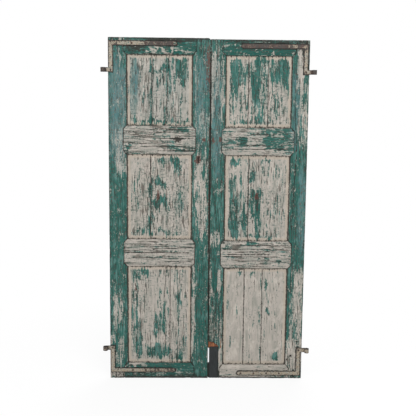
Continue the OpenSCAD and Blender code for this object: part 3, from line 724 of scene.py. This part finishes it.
def painted_pine(name, along):
    """Pine under two coats of oil paint: chalky teal flaking in streaks off aged cream.

    The eye gets two thin layers with broken edges, a dry matt surface, fine dark cracks along and
    across the grain, grey wood where both coats have gone, and old dirt in the joints, with painted
    shade in the seam between the leaves, under the left top rail, round the panels and beside the
    straps. Real cracks are under a millimetre wide; here they are 6 mm, the finest that still show.
    """
    paint = bpy.context.scene.door_paint
    finish, tree, surface = new_finish(name)
    n = patterns(tree, along, {
        "blotch": (70, 2, 3), "streak": (12, 9, 4), "fine": (6, 11, 3), "flake": (7, 1.6, 4),
        "crack": (6, 14, 3), "cross": (30, 0.2, 3), "under": (9, 8, 3), "patch": (45, 1.6, 3),
    }, ("top_coat", "blue", "stain", "soot", "bare", "raw", "edge", "crackle", "border"))

    # how much of each coat is left
    teal = coat_left(tree, n, n["top_coat"], 0.31, 0.54, blotch=0.8, streak=2.3, fine=1.9, flake=1.25,
                     cross=0.6, edge=-0.3)
    cover = add(tree, "ShaderNodeMath", {0: 1.0, 1: n["bare"]}, operation="SUBTRACT").outputs[0]
    cream = coat_left(tree, n, cover, 0.38, 0.5, under=1.5, crack=-1.0, flake=1.2, edge=-0.4)

    # the top coat: brush furrows, chalk, blue and sheltered parts, bloom, cracks and flecks
    worn = weighed(tree, n, 0.5, under=1.0, patch=0.9)
    bluer = add(tree, "ShaderNodeMath", {0: n["blue"], 1: n["streak"]}, operation="MULTIPLY").outputs[0]
    bloom = weighed(tree, n, n["blue"], flake=2.2, fine=2.0)
    open_cracks = weighed(tree, n, n["crackle"], crack=2.4, flake=0.9)
    specks = weighed(tree, n, 0.5, flake=0.9, fine=0.6, patch=1.3)
    teals = build_up(
        tree, paint.teal_deep, (paint.teal_mid, n["fine"], 0.4, 0.56),
        (paint.teal_pale, worn, 0.5, 0.68, 0.9), (paint.teal_blue, bluer, 0.2, 0.65, 0.8),
        (paint.teal_new, bluer, -0.05, -0.35, 0.9), (paint.cream_grey, bloom, 0.85, 1.35, 0.4),
        (paint.soil_and_shade, open_cracks, 0.35, 0.66, 0.78), (paint.purple, n["flake"], 0.55, 0.64, 0.6),
        (paint.cream_mid, specks, 0.36, 0.2, 0.7))

    # the under coat: dirt in its grain, clean patches, a ghost of the teal, and its cracks both ways
    ghost = add(tree, "ShaderNodeMath", {0: n["fine"], 1: 0.22, 2: n["top_coat"]},
                operation="MULTIPLY_ADD").outputs[0]
    gaps = build_up(tree, paint.teal_deep, (paint.wood_dark, n["patch"], 0.42, 0.58))
    along_it = weighed(tree, n, n["crackle"], crack=2.4, patch=1.0, flake=0.7)
    across_it = weighed(tree, n, n["crackle"], cross=2.2, patch=-1.1, flake=0.9)
    creams = build_up(
        tree, paint.cream_grey, (paint.cream_mid, n["streak"], 0.34, 0.52),
        (paint.cream_pale, n["patch"], 0.48, 0.68, 0.75), (paint.teal_pale, ghost, 0.15, 1.0, 0.5),
        (paint.teal_blue, n["blue"], 0.0, 1.0, 0.25), (paint.cream_warm, n["border"], 0.0, 1.0, 0.5),
        (gaps, along_it, 0.42, 0.66, 0.8), (gaps, across_it, 0.5, 0.74, 0.5 if along == "z" else 0.2))

    # the layers in their order, then dirt and painted shade on top, and the torn wood of the broken foot
    whole = build_up(tree, paint.wood_dark, (paint.wood_mid, n["crack"], 0.6, 0.4))
    for share, coat in ((cream, creams), (teal, teals)):
        whole = add(tree, "ShaderNodeMix", {0: share, 6: whole, 7: coat}, data_type="RGBA").outputs[2]
    rusty = weighed(tree, n, n["stain"], fine=1.3, flake=1.6)
    # Dirt at the worn edges and in the darkened areas, some of which are painted shade.
    dirt_and_shade = add(tree, "ShaderNodeMath", {0: n["edge"], 1: n["soot"]}, operation="MAXIMUM").outputs[0]
    dirt_and_shade = weighed(tree, n, dirt_and_shade, flake=1.8, streak=1.6)
    whole = build_up(
        tree, whole, (paint.stain, rusty, 0.4, 0.75, 0.85), (paint.soil_and_shade, dirt_and_shade, 0.25, 0.75, 0.9))
    torn = build_up(tree, paint.stain, (paint.fresh, n["fine"], 0.35, 0.6))
    whole = add(tree, "ShaderNodeMix", {0: n["raw"], 6: whole, 7: torn}, data_type="RGBA").outputs[2]

    # each coat stands a little proud of what is under it
    height = weighed(tree, n | {"teal": teal}, cream, teal=0.8, crack=-1.2, fine=0.35)
    bump = add(tree, "ShaderNodeBump", {"Strength": 0.55, "Distance": 0.6 * MM, "Height": height})
    matt = add(tree, "ShaderNodeMapRange", {0: teal, 3: 0.9, 4: 0.74}).outputs[0]
    feed(tree, surface, {"Base Color": whole, "Normal": bump.outputs[0], "Roughness": matt, "IOR": 1.47,
                         "Specular IOR Level": 0.3})
    return finish


def bare_pine(name):
    """Old unpainted pine, split out by hand: grey-brown with darker end grain, quite matt."""
    paint = bpy.context.scene.door_paint
    finish, tree, surface = new_finish(name)
    n = patterns(tree, "x", {"broad": (14, 4, 2), "hair": (1.6, 8, 3)})
    tone = build_up(tree, paint.wood_dark, (paint.wood_mid, n["broad"], 0.3, 0.7),
                    (paint.soil_and_shade, n["hair"], 0.45, 0.3, 0.6))
    bump = add(tree, "ShaderNodeBump", {"Strength": 0.5, "Distance": 0.4 * MM, "Height": n["hair"]})
    feed(tree, surface, {"Base Color": tone, "Normal": bump.outputs[0], "Roughness": 0.85, "IOR": 1.5})
    return finish


def tarred_oak(name):
    """A sawn oak slip gone slate-dark with tar and damp: faint upright saw lines and a dull sheen."""
    paint = bpy.context.scene.door_paint
    finish, tree, surface = new_finish(name)
    n = patterns(tree, "z", {"broad": (22, 3, 2), "saw": (3.2, 14, 3), "speck": (2.2, 1.4, 2)})
    tone = build_up(tree, paint.tar_deep, (paint.tar_mid, n["saw"], 0.34, 0.64),
                    (paint.tar_worn, n["broad"], 0.5, 0.75, 0.5),
                    (paint.tar_dust, n["speck"], 0.64, 0.72, 0.5))
    bump = add(tree, "ShaderNodeBump", {"Strength": 0.6, "Distance": 0.5 * MM, "Height": n["saw"]})
    feed(tree, surface, {"Base Color": tone, "Normal": bump.outputs[0], "Roughness": 0.8, "IOR": 1.5})
    return finish


def painted_iron(name):
    """Forged wrought iron under old house paint: cream and teal left in patches over rust and scale."""
    iron, paint = bpy.context.scene.door_iron, bpy.context.scene.door_paint
    finish, tree, surface = new_finish(name)
    n = patterns(tree, "x", {
        "blotch": (20, 1.3, 3), "flake": (6, 1.2, 3), "pit": (2, 1, 2), "dot": (8, 1, 2),
    }, ("top_coat", "cream_coat", "edge"))
    cream = coat_left(tree, n, n["cream_coat"], 0.36, 0.46, blotch=1.9, flake=2.0, edge=-0.6)
    teal = coat_left(tree, n, n["top_coat"], 0.36, 0.46, blotch=1.6, flake=1.8, edge=-0.4)
    creams = build_up(tree, paint.cream_grey, (iron.cream, n["flake"], 0.38, 0.58))
    whole = build_up(tree, iron.iron, (iron.rust, n["blotch"], 0.4, 0.62),
                     (iron.rust_pale, n["flake"], 0.55, 0.7, 0.5))
    for share, coat in ((cream, creams), (teal, paint.teal_mid)):
        whole = add(tree, "ShaderNodeMix", {0: share, 6: whole, 7: coat}, data_type="RGBA").outputs[2]
    grimy = weighed(tree, n, n["edge"], flake=2.0, blotch=1.0, dot=2.0)
    whole = build_up(tree, whole, (paint.soil_and_shade, grimy, 0.12, 0.5, 0.92))
    height = weighed(tree, n, cream, pit=0.8, flake=0.6)
    bump = add(tree, "ShaderNodeBump", {"Strength": 0.7, "Distance": 0.5 * MM, "Height": height})
    feed(tree, surface, {"Base Color": whole, "Normal": bump.outputs[0], "Roughness": 0.72})
    return finish


def rusted_iron(name):
    """Bare wrought iron rusted all over: crusted red-brown with dark scale, dry and rough."""
    iron = bpy.context.scene.door_iron
    finish, tree, surface = new_finish(name)
    n = patterns(tree, "x", {"blotch": (6, 1, 3), "pit": (1.4, 1, 3)})
    tone = build_up(tree, iron.iron, (iron.rust, n["blotch"], 0.4, 0.6),
                    (iron.rust_pale, n["pit"], 0.5, 0.68, 0.7))
    bump = add(tree, "ShaderNodeBump", {"Strength": 0.8, "Distance": 0.4 * MM, "Height": n["pit"]})
    feed(tree, surface, {"Base Color": tone, "Normal": bump.outputs[0], "Roughness": 0.85})
    return finish


FINISHES = {
    "Flaking oil paint on upright pine": lambda name: painted_pine(name, "z"),
    "Flaking oil paint on level pine": lambda name: painted_pine(name, "x"),
    "Bare weathered pine": bare_pine,
    "Tarred oak": tarred_oak,
    "Painted wrought iron": painted_iron,
    "Rusted wrought iron": rusted_iron,
}


def dress(piece, finish_name, angle=38):
    """Gives a piece its finish, made the first time it is asked for, and smooths its shading."""
    finish = bpy.data.materials.get(finish_name) or FINISHES[finish_name](finish_name)
    piece.data.materials.clear()
    piece.data.materials.append(finish)
    only(piece)
    bpy.ops.object.shade_smooth_by_angle(angle=math.radians(angle))


# ---------------------------------------------------------------- timber

def area_sum(co, rows):
    """The sum of soft-edged areas at each point, from rows of middle, half sizes and amount in mm."""
    total = np.zeros(len(co))
    x, z = co[:, 0] / MM, co[:, 2] / MM
    for mid_x, mid_z, half_x, half_z, amount in rows:
        far = (np.abs((x - mid_x) / half_x) ** 3 + np.abs((z - mid_z) / half_z) ** 3) ** (1 / 3)
        total += amount * (1 - ease(far, *AREA_EDGE))
    return total


def ragged(co, seed):
    """The points pushed about by up to a few centimetres, so that an area's outline turns ragged."""
    moved = co.copy()
    moved[:, 0] += 0.016 * rough(co, (0.03, 0.03, 0.08), seed)
    moved[:, 2] += 0.045 * rough(co, (0.03, 0.03, 0.09), seed + 0.5)
    return moved


def from_panel_line(co, leaf):
    """How far each point is from the nearest edge of its panel's opening, across and up, in mm."""
    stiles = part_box(f"{leaf}_hinge_stile"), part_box(f"{leaf}_meeting_stile")
    inner, outer = sorted(stiles, key=lambda box: box[0][0])
    sides = (inner[1][0], outer[0][0])
    levels = [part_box(f"{leaf}_{part}_rail") for part in RAILS]
    lines = [height for low, high in levels for height in (low[2], high[2])][1:-1]
    across = np.min([np.abs(co[:, 0] - side) for side in sides], axis=0)
    up = np.min([np.abs(co[:, 2] - line) for line in lines], axis=0)
    return across / MM, up / MM


def timber_cutters(node, along, face, seed):
    """Tools for the splits, knots, dents and nail holes of one timber part."""
    low, high = (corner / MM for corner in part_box(node))
    draw = random.Random(seed)
    made = []
    for i in range(bpy.context.scene.door_timber.splits):
        long = draw.uniform(40, 130)
        x = draw.uniform(low.x + 12, high.x - 12)
        z = draw.uniform(low.z + 15, high.z - 15)
        made.append(split_cutter(
            x, z, min(long, 0.5 * ((high.z - low.z) if along == "z" else (high.x - low.x))),
            draw.uniform(0.8, 1.4), draw.uniform(1.5, 3.0), along, draw.uniform(-0.02, 0.02), face, seed + i))
    for x, z, long, wide, deep, lean in SPLITS.get(node, ()):
        made.append(split_cutter(x, z, long, wide, deep, along, lean, face, x * 0.1))
    for x, z, half_x, half_z, deep, lean in HOLLOWS.get(node, ()):
        made.append(hollow_cutter(x, z, half_x, half_z, deep, face, lean))
    for x, z, radius, deep in NAIL_HOLES.get(node, ()):
        made.append(hole_cutter(x, z, radius, deep, face))
    return made


def strap_shadow_and_dirt(co, leaf):
    """1 at the points along the outline of one leaf's straps, falling to 0: painted shadow of the straps on
    the wood, with the dirt gathered there.
    """
    near = np.zeros(len(co))
    for node in (f"{leaf}_upper_strap", f"{leaf}_lower_strap"):
        low, high = corners(node)
        about = np.all((co > low - 0.01) & (co < high + 0.01), axis=1)
        if about.any():
            strap = solid_copy(node, "outline")
            near[about] = nearness(co[about], arrises(strap), STRAP_SHADOW_AND_DIRT)
            bpy.data.objects.remove(strap)
    return near


def torn_foot(co):
    """1 at the points of the broken wood at the foot of the right leaf's meeting stile, 0 elsewhere."""
    low, high = TORN_FOOT
    return np.all((co / MM > low) & (co / MM < high), axis=1).astype(float)


def wear_timber(piece, node, along, near, seed):
    """Wears the edges, washes out the soft grain, hollows the boards and tears the broken foot."""
    timber = bpy.context.scene.door_timber
    co, out = points(piece), points(piece, "normal")
    grain = (0.09, 0.006, 0.006) if along == "x" else (0.006, 0.006, 0.09)
    chip_size = (0.05, 0.014, 0.014) if along == "x" else (0.014, 0.014, 0.05)
    depth = timber.arris_wear * near ** 2 * (0.55 + 0.9 * rough(co, 0.03, seed))
    depth += timber.chip_depth * near * ease(rough(co, chip_size, seed + 1), 0.22, 0.5)
    depth += timber.furrow_depth * ease(rough(co, grain, seed + 2, 2), -0.1, 0.5)
    depth = np.clip(depth, 0, timber.chip_depth)
    low, high = corners(node)
    if "board" in node:
        across = np.clip(2 * (co[:, 0] - low[0]) / (high[0] - low[0]) - 1, -1, 1)
        depth += timber.cupping * (1 - across ** 2) * (np.abs(out[:, 1]) > 0.5)
    worn = co - out * depth[:, None]
    if node == "right_meeting_stile":
        torn = torn_foot(co) * (co[:, 2] > TORN_RIDGES)
        ridge = rough(co, (0.0035, 0.02, 0.03), seed + 3, 2)
        worn[:, 1] -= 0.0026 * torn * ease(ridge, -0.4, 0.5)
    place(piece, np.clip(worn, low, high))


def dress_timber(node, along, face):
    """Turns one packed timber part into worn, split and painted wood."""
    timber = bpy.context.scene.door_timber
    seed = 11 + sum((i + 1) * ord(letter) for i, letter in enumerate(node)) % 997
    leaf, board = node.split("_")[0], "board" in node
    # the boards of a panel share one row in the tables
    family = node.rsplit("_", 1)[0] if board else node
    piece = solid_copy(node, "worn_" + node)
    lines, tree = corner_lines(piece), arrises(piece)
    cut_with(piece, timber_cutters(node, along, face, seed))
    steps = [timber.step_across, timber.step_across * 1.5, timber.step_across]
    steps["xyz".index(along)] = timber.step_along
    for axis, step in enumerate(steps):
        slice_up(piece, axis, step, lines[axis])
    near = nearness(points(piece), tree)
    wear_timber(piece, node, along, near, seed)
    co, out = points(piece), points(piece, "normal")
    behind = ease(co[:, 1] / MM, *BEHIND)
    end_grain = np.abs(out[:, "xyz".index(along)]) > 0.8
    base, rows = TOP_COAT[family]
    spots = ragged(co, seed * 0.1)
    top = base + PATCHINESS * area_sum(spots, rows)
    # Darkening for the finish: dirt, darker end grain and dirt in the splits, with painted shade from the
    # table of dark areas.
    soot = area_sum(co, GRIME_AND_SHADE_AREAS) + end_grain * 0.5 + 0.75 * split_dirt(co, node, along)
    # Painted shadow of the straps, with dirt, along their outlines on the hinge stiles and the top and bottom
    # rails.
    if not node.endswith(("middle_rail", "meeting_stile")) and not board:
        soot = np.maximum(soot, 1.2 * strap_shadow_and_dirt(co, leaf))
    crackle = CRACKLE.get(family, PLAIN_CRACKLE) + area_sum(spots, CLEAN)
    if board:
        across, up = from_panel_line(co, leaf)
        border = 1 - ease(np.minimum(across, up), 0.75 * BORDER, 1.2 * BORDER)
        top -= 0.3 * border
        crackle -= 0.24 * border
        paint_on(piece, border=border)
        # Painted shade, with dirt, in the recess where the boards meet the frame: a dark line down the
        # panel's sides and a fainter one at its top and foot.
        soot += 0.95 * (1 - ease(across, 3, 8)) + 0.6 * (1 - ease(up, 2, 6))
        near *= 0.75
    paint_on(
        piece, top_coat=np.clip(top * (1 - behind) + 0.45 * behind, -0.3, 1.1),
        crackle=np.clip(crackle, 0, 1), blue=np.clip(area_sum(spots, BLUE), -1, 1) * (1 - behind),
        stain=np.clip(area_sum(co, STAINS), 0, 1) * (1 - behind), soot=np.clip(soot, 0, 1),
        bare=np.clip(0.06 + 0.5 * behind + 0.4 * end_grain, 0, 1),
        raw=torn_foot(co) if node == "right_meeting_stile" else 0, edge=near, plank=seed * 1.37)
    dress(piece, f"Flaking oil paint on {'level' if along == 'x' else 'upright'} pine")
    stands_for(piece, node)


class DOOR_OT_stiles(bpy.types.Operator):
    """Builds the four upright stiles"""

    bl_idname = "door.stiles"
    bl_label = "Stiles"

    def execute(self, context):
        for leaf in LEAVES:
            for part in ("hinge_stile", "meeting_stile"):
                dress_timber(f"{leaf}_{part}", "z", FRONT)
        return {"FINISHED"}


class DOOR_OT_rails(bpy.types.Operator):
    """Builds the eight level rails"""

    bl_idname = "door.rails"
    bl_label = "Rails"

    def execute(self, context):
        for node in (f"{leaf}_{part}_rail" for leaf in LEAVES for part in RAILS):
            dress_timber(node, "x", FRONT)
        return {"FINISHED"}


class DOOR_OT_boards(bpy.types.Operator):
    """Builds the panels' upright boards"""

    bl_idname = "door.boards"
    bl_label = "Panel boards"

    def execute(self, context):
        for node in sorted(n for n in frame["nodes"] if "_board_" in n):
            dress_timber(node, "z", FRONT + RECESS)
        return {"FINISHED"}


class DOOR_OT_slip(bpy.types.Operator):
    """Builds the dark slip let into the broken foot"""

    bl_idname = "door.slip"
    bl_label = "Foot slip"

    def execute(self, context):
        node = "right_foot_slip"
        piece = solid_copy(node, "worn_" + node)
        lines = corner_lines(piece)
        for axis, step in ((0, 0.003), (2, 0.010)):
            slice_up(piece, axis, step, lines[axis], beside=(0.001,))
        co = points(piece)
        near = nearness(co, arrises(piece), reach=0.003)
        depth = 0.0008 * near * (0.6 + rough(co, 0.02, 5))
        depth += 0.0004 * ease(rough(co, (0.004, 0.02, 0.12), 6), -0.2, 0.5)
        wear_back(piece, node, depth)
        paint_on(piece, plank=4.2)
        dress(piece, "Tarred oak")
        stands_for(piece, node)
        return {"FINISHED"}


class DOOR_OT_joinery(bpy.types.Operator):
    """Builds the wedges of the through tenons and the pegs of the short ones"""

    bl_idname = "door.joinery"
    bl_label = "Wedges and pegs"

    def execute(self, context):
        for leaf in LEAVES:
            for i, part in enumerate(("tenon_wedges", "tenon_pegs")):
                node = f"{leaf}_{part}"
                piece = solid_copy(node, "worn_" + node)
                round_edges(piece, 0.4)
                wear_back(piece, node, 0.0004 * ease(rough(points(piece), 0.006, 3 + i), -0.3, 0.4))
                paint_on(piece, plank=2.0 + i)
                dress(piece, "Bare weathered pine")
                stands_for(piece, node)
        return {"FINISHED"}


# ---------------------------------------------------------------- ironwork

class DOOR_OT_straps(bpy.types.Operator):
    """Builds the four forged corner straps with their rolled eyes"""

    bl_idname = "door.straps"
    bl_label = "Corner straps"

    def execute(self, context):
        iron = context.scene.door_iron
        for i, node in enumerate(sorted(n for n in frame["nodes"] if n.endswith("_strap"))):
            piece = solid_copy(node, "forged_" + node)
            tree = arrises(piece)
            round_edges(piece, 0.9, 40)
            for axis in (0, 2):
                slice_up(piece, axis, STRAP_STEP, [])
            co = points(piece)
            near = nearness(co, tree)
            depth = iron.hammer_depth * ease(rough(co, 0.013, 20 + i), -0.2, 0.4)
            depth += 0.0012 * near * ease(rough(co, 0.016, 30 + i), 0.1, 0.45)
            wear_back(piece, node, depth)
            cream, teal = STRAP_PAINT[node]
            eye = np.abs(co[:, 0] / MM) > EYE_START
            cover = np.where(eye, EYE_CREAM[node], cream + area_sum(co, STRAP_AREAS.get(node, ())))
            paint_on(piece, cream_coat=np.clip(cover, -0.5, 1), top_coat=np.where(eye, -0.5, teal),
                     edge=near, plank=40.0 + 3 * i)
            dress(piece, "Painted wrought iron")
            stands_for(piece, node)
        return {"FINISHED"}


def loose_boxes(node):
    """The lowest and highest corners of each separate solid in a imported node."""
    solid_copy(node, "count_" + node)
    with editing():
        bpy.ops.mesh.separate(type="LOOSE")
    parts = list(bpy.context.selected_objects)
    boxes = [(points(part).min(0), points(part).max(0)) for part in parts]
    for part in parts:
        bpy.data.objects.remove(part)
    return sorted(boxes, key=lambda b: (round(b[0][2], 4), b[0][0]))


def rose_nail(low, high, draw, seed):
    """One nail inside its solid's box: a low faceted head in front, and a square tapering shank."""
    radius = (high[0] - low[0]) / 2
    head = HEAD_HEIGHT * MM
    only()
    bpy.ops.mesh.primitive_cone_add(vertices=8, radius1=radius, radius2=radius * 0.34, depth=head)
    nail = bpy.context.active_object
    with editing("DESELECT"):
        bpy.ops.mesh.select_mode(type="FACE")
    under = min(nail.data.polygons, key=lambda face: face.center.z)
    under.select = True
    shank = high[1] - low[1] - head
    with editing(None):
        bpy.ops.mesh.inset(thickness=radius * 0.62)
        bpy.ops.mesh.extrude_region_move(TRANSFORM_OT_translate={"value": (0, 0, -shank)})
        bpy.ops.transform.resize(value=(0.4, 0.4, 1))
    round_edges(nail, 0.45)
    co = points(nail)
    co[:, :2] *= 1 - 0.16 * ease(rough(co, radius, seed), -0.3, 0.5)[:, None]
    spun = draw.uniform(0, math.pi)
    x = co[:, 0] * math.cos(spun) - co[:, 1] * math.sin(spun)
    up = co[:, 0] * math.sin(spun) + co[:, 1] * math.cos(spun)
    back = co[:, 2].max() - co[:, 2]
    mid = (low + high) / 2
    place(nail, np.stack([mid[0] + x, low[1] + back, mid[2] + up], axis=1))
    face_outwards(nail)
    return nail


class DOOR_OT_strap_nails(bpy.types.Operator):
    """Builds the hand-forged rose-head nails that hold the straps"""

    bl_idname = "door.strap_nails"
    bl_label = "Strap nails"

    def execute(self, context):
        for leaf in LEAVES:
            node = f"{leaf}_strap_nails"
            draw = random.Random(len(node))
            only(*[rose_nail(low, high, draw, i) for i, (low, high) in enumerate(loose_boxes(node))])
            bpy.ops.object.join()
            piece = bpy.context.active_object
            piece.name = piece.data.name = "forged_" + node
            paint_on(piece, plank=6.1)
            dress(piece, "Rusted wrought iron", angle=30)
            stands_for(piece, node)
        return {"FINISHED"}


class DOOR_OT_loose_iron(bpy.types.Operator):
    """Builds the rusty staples of the middle panels and the nails left where a lock was"""

    bl_idname = "door.loose_iron"
    bl_label = "Staples and lock nails"

    def execute(self, context):
        for i, node in enumerate(("left_panel_staple", "right_panel_staple", "left_lock_nail",
                                  "right_lock_nails")):
            piece = solid_copy(node, "rusted_" + node)
            crust = piece.modifiers.new("crust", "REMESH")
            crust.mode, crust.voxel_size = "VOXEL", 0.7 * MM
            bpy.ops.object.modifier_apply(modifier=crust.name)
            wear_back(piece, node, 0.0005 * ease(rough(points(piece), 0.004, 50 + i), -0.3, 0.4))
            paint_on(piece, plank=8.0 + i)
            dress(piece, "Rusted wrought iron", angle=60)
            stands_for(piece, node)
        return {"FINISHED"}


# ---------------------------------------------------------------- stage

def plainly_seen(tree):
    """1 for the rays that show a surface itself, in a mirror or through glass too, and 0 for light."""
    rays = add(tree, "ShaderNodeLightPath").outputs
    seen = rays["Is Camera Ray"]
    for other in ("Is Glossy Ray", "Is Transmission Ray"):
        seen = add(tree, "ShaderNodeMath", {0: seen, 1: rays[other]}, operation="MAXIMUM").outputs[0]
    return seen


def air_light(strength):
    """A white world: soft even light on the door, and plain white where it is looked at."""
    world = bpy.data.worlds.new("White air")
    bpy.context.scene.world = world
    world.use_nodes = True
    tree = world.node_tree
    tree.nodes.clear()
    level = add(tree, "ShaderNodeMapRange", {0: plainly_seen(tree), 3: strength, 4: 1.0}).outputs[0]
    air = add(tree, "ShaderNodeBackground", {"Color": (1, 1, 1), "Strength": level})
    add(tree, "ShaderNodeOutputWorld", {"Surface": air.outputs[0]})


def pale_floor(name):
    """Matt white paper: it keeps the door's soft shadow and fades to plain white further off."""
    finish, tree, surface = new_finish(name)
    tree.nodes.remove(surface)
    spot = add(tree, "ShaderNodeTexCoord").outputs["Object"]
    far = add(tree, "ShaderNodeVectorMath", {0: spot}, operation="LENGTH").outputs["Value"]
    white = add(tree, "ShaderNodeMapRange", {0: far, 1: 0.7, 2: 2.2, 3: 0.86, 4: 1.0},
                interpolation_type="SMOOTHSTEP").outputs[0]
    share = add(tree, "ShaderNodeMath", {0: plainly_seen(tree), 1: white}, operation="MULTIPLY").outputs[0]
    paper = add(tree, "ShaderNodeBsdfDiffuse", {"Color": (0.86, 0.86, 0.86)})
    glow = add(tree, "ShaderNodeEmission", {"Color": (1, 1, 1), "Strength": 1.0})
    both = add(tree, "ShaderNodeMixShader", {0: share, 1: paper.outputs[0], 2: glow.outputs[0]})
    feed(tree, tree.nodes["Material Output"], {"Surface": both.outputs[0]})
    return finish


class DOOR_OT_stage(bpy.types.Operator):
    """Sets the pale floor, the soft lamps and the camera"""

    bl_idname = "door.stage"
    bl_label = "Floor, lamps and camera"

    def execute(self, context):
        studio = context.scene.door_studio
        only()
        bpy.ops.mesh.primitive_plane_add(size=FLOOR_SIZE)
        floor = context.active_object
        floor.name = "floor"
        floor.data.materials.append(pale_floor("Pale studio floor"))
        for key, size, location in LAMPS:
            aim = (Vector(LAMPS_AIM) - Vector(location)).to_track_quat("-Z", "Y").to_euler()
            only()
            bpy.ops.object.light_add(type="AREA", location=location, rotation=aim)
            lamp = context.active_object
            lamp.name, lamp.data.energy, lamp.data.size = f"{key}_lamp", getattr(studio, f"{key}_power"), size
        air_light(studio.air)
        only()
        bpy.ops.object.camera_add()
        camera = context.active_object
        camera.data.lens, camera.data.sensor_width = studio.lens, 36
        camera.matrix_world = (
            Matrix.Translation(studio.eye) @ Matrix.Rotation(-studio.yaw, 4, "Z")
            @ Matrix.Rotation(math.pi / 2 - studio.pitch, 4, "X") @ Matrix.Rotation(studio.roll, 4, "Z"))
        context.scene.camera = camera
        context.scene.view_settings.view_transform = "Standard"
        return {"FINISHED"}


# ---------------------------------------------------------------- add-on

BUILD = (DOOR_OT_stiles, DOOR_OT_rails, DOOR_OT_boards, DOOR_OT_slip, DOOR_OT_joinery, DOOR_OT_straps,
         DOOR_OT_strap_nails, DOOR_OT_loose_iron, DOOR_OT_stage)
SETTINGS = {"door_timber": DoorTimber, "door_paint": DoorPaint, "door_iron": DoorIron,
            "door_studio": DoorStudio}


class DOOR_PT_panel(bpy.types.Panel):
    """Lists the steps and the settings in the 3D view's sidebar"""

    bl_label = "Old Door"
    bl_idname = "DOOR_PT_panel"
    bl_space_type = "VIEW_3D"
    bl_region_type = "UI"
    bl_category = "Old Door"

    def draw(self, context):
        for step in BUILD:
            self.layout.operator(step.bl_idname)
        for key, group in SETTINGS.items():
            box = self.layout.box()
            for field in group.__annotations__:
                box.prop(getattr(context.scene, key), field)


def register():
    for group in SETTINGS.values():
        bpy.utils.register_class(group)
    for step in (*BUILD, DOOR_PT_panel):
        bpy.utils.register_class(step)
    for key, group in SETTINGS.items():
        setattr(bpy.types.Scene, key, bpy.props.PointerProperty(type=group))


def unregister():
    for key in SETTINGS:
        delattr(bpy.types.Scene, key)
    for step in (DOOR_PT_panel, *reversed(BUILD), *SETTINGS.values()):
        bpy.utils.unregister_class(step)


def main():
    """Builds every piece in order."""
    register()
    for step in BUILD:
        group, name = step.bl_idname.split(".")
        getattr(getattr(bpy.ops, group), name)()


if __name__ == "__main__":
    main()
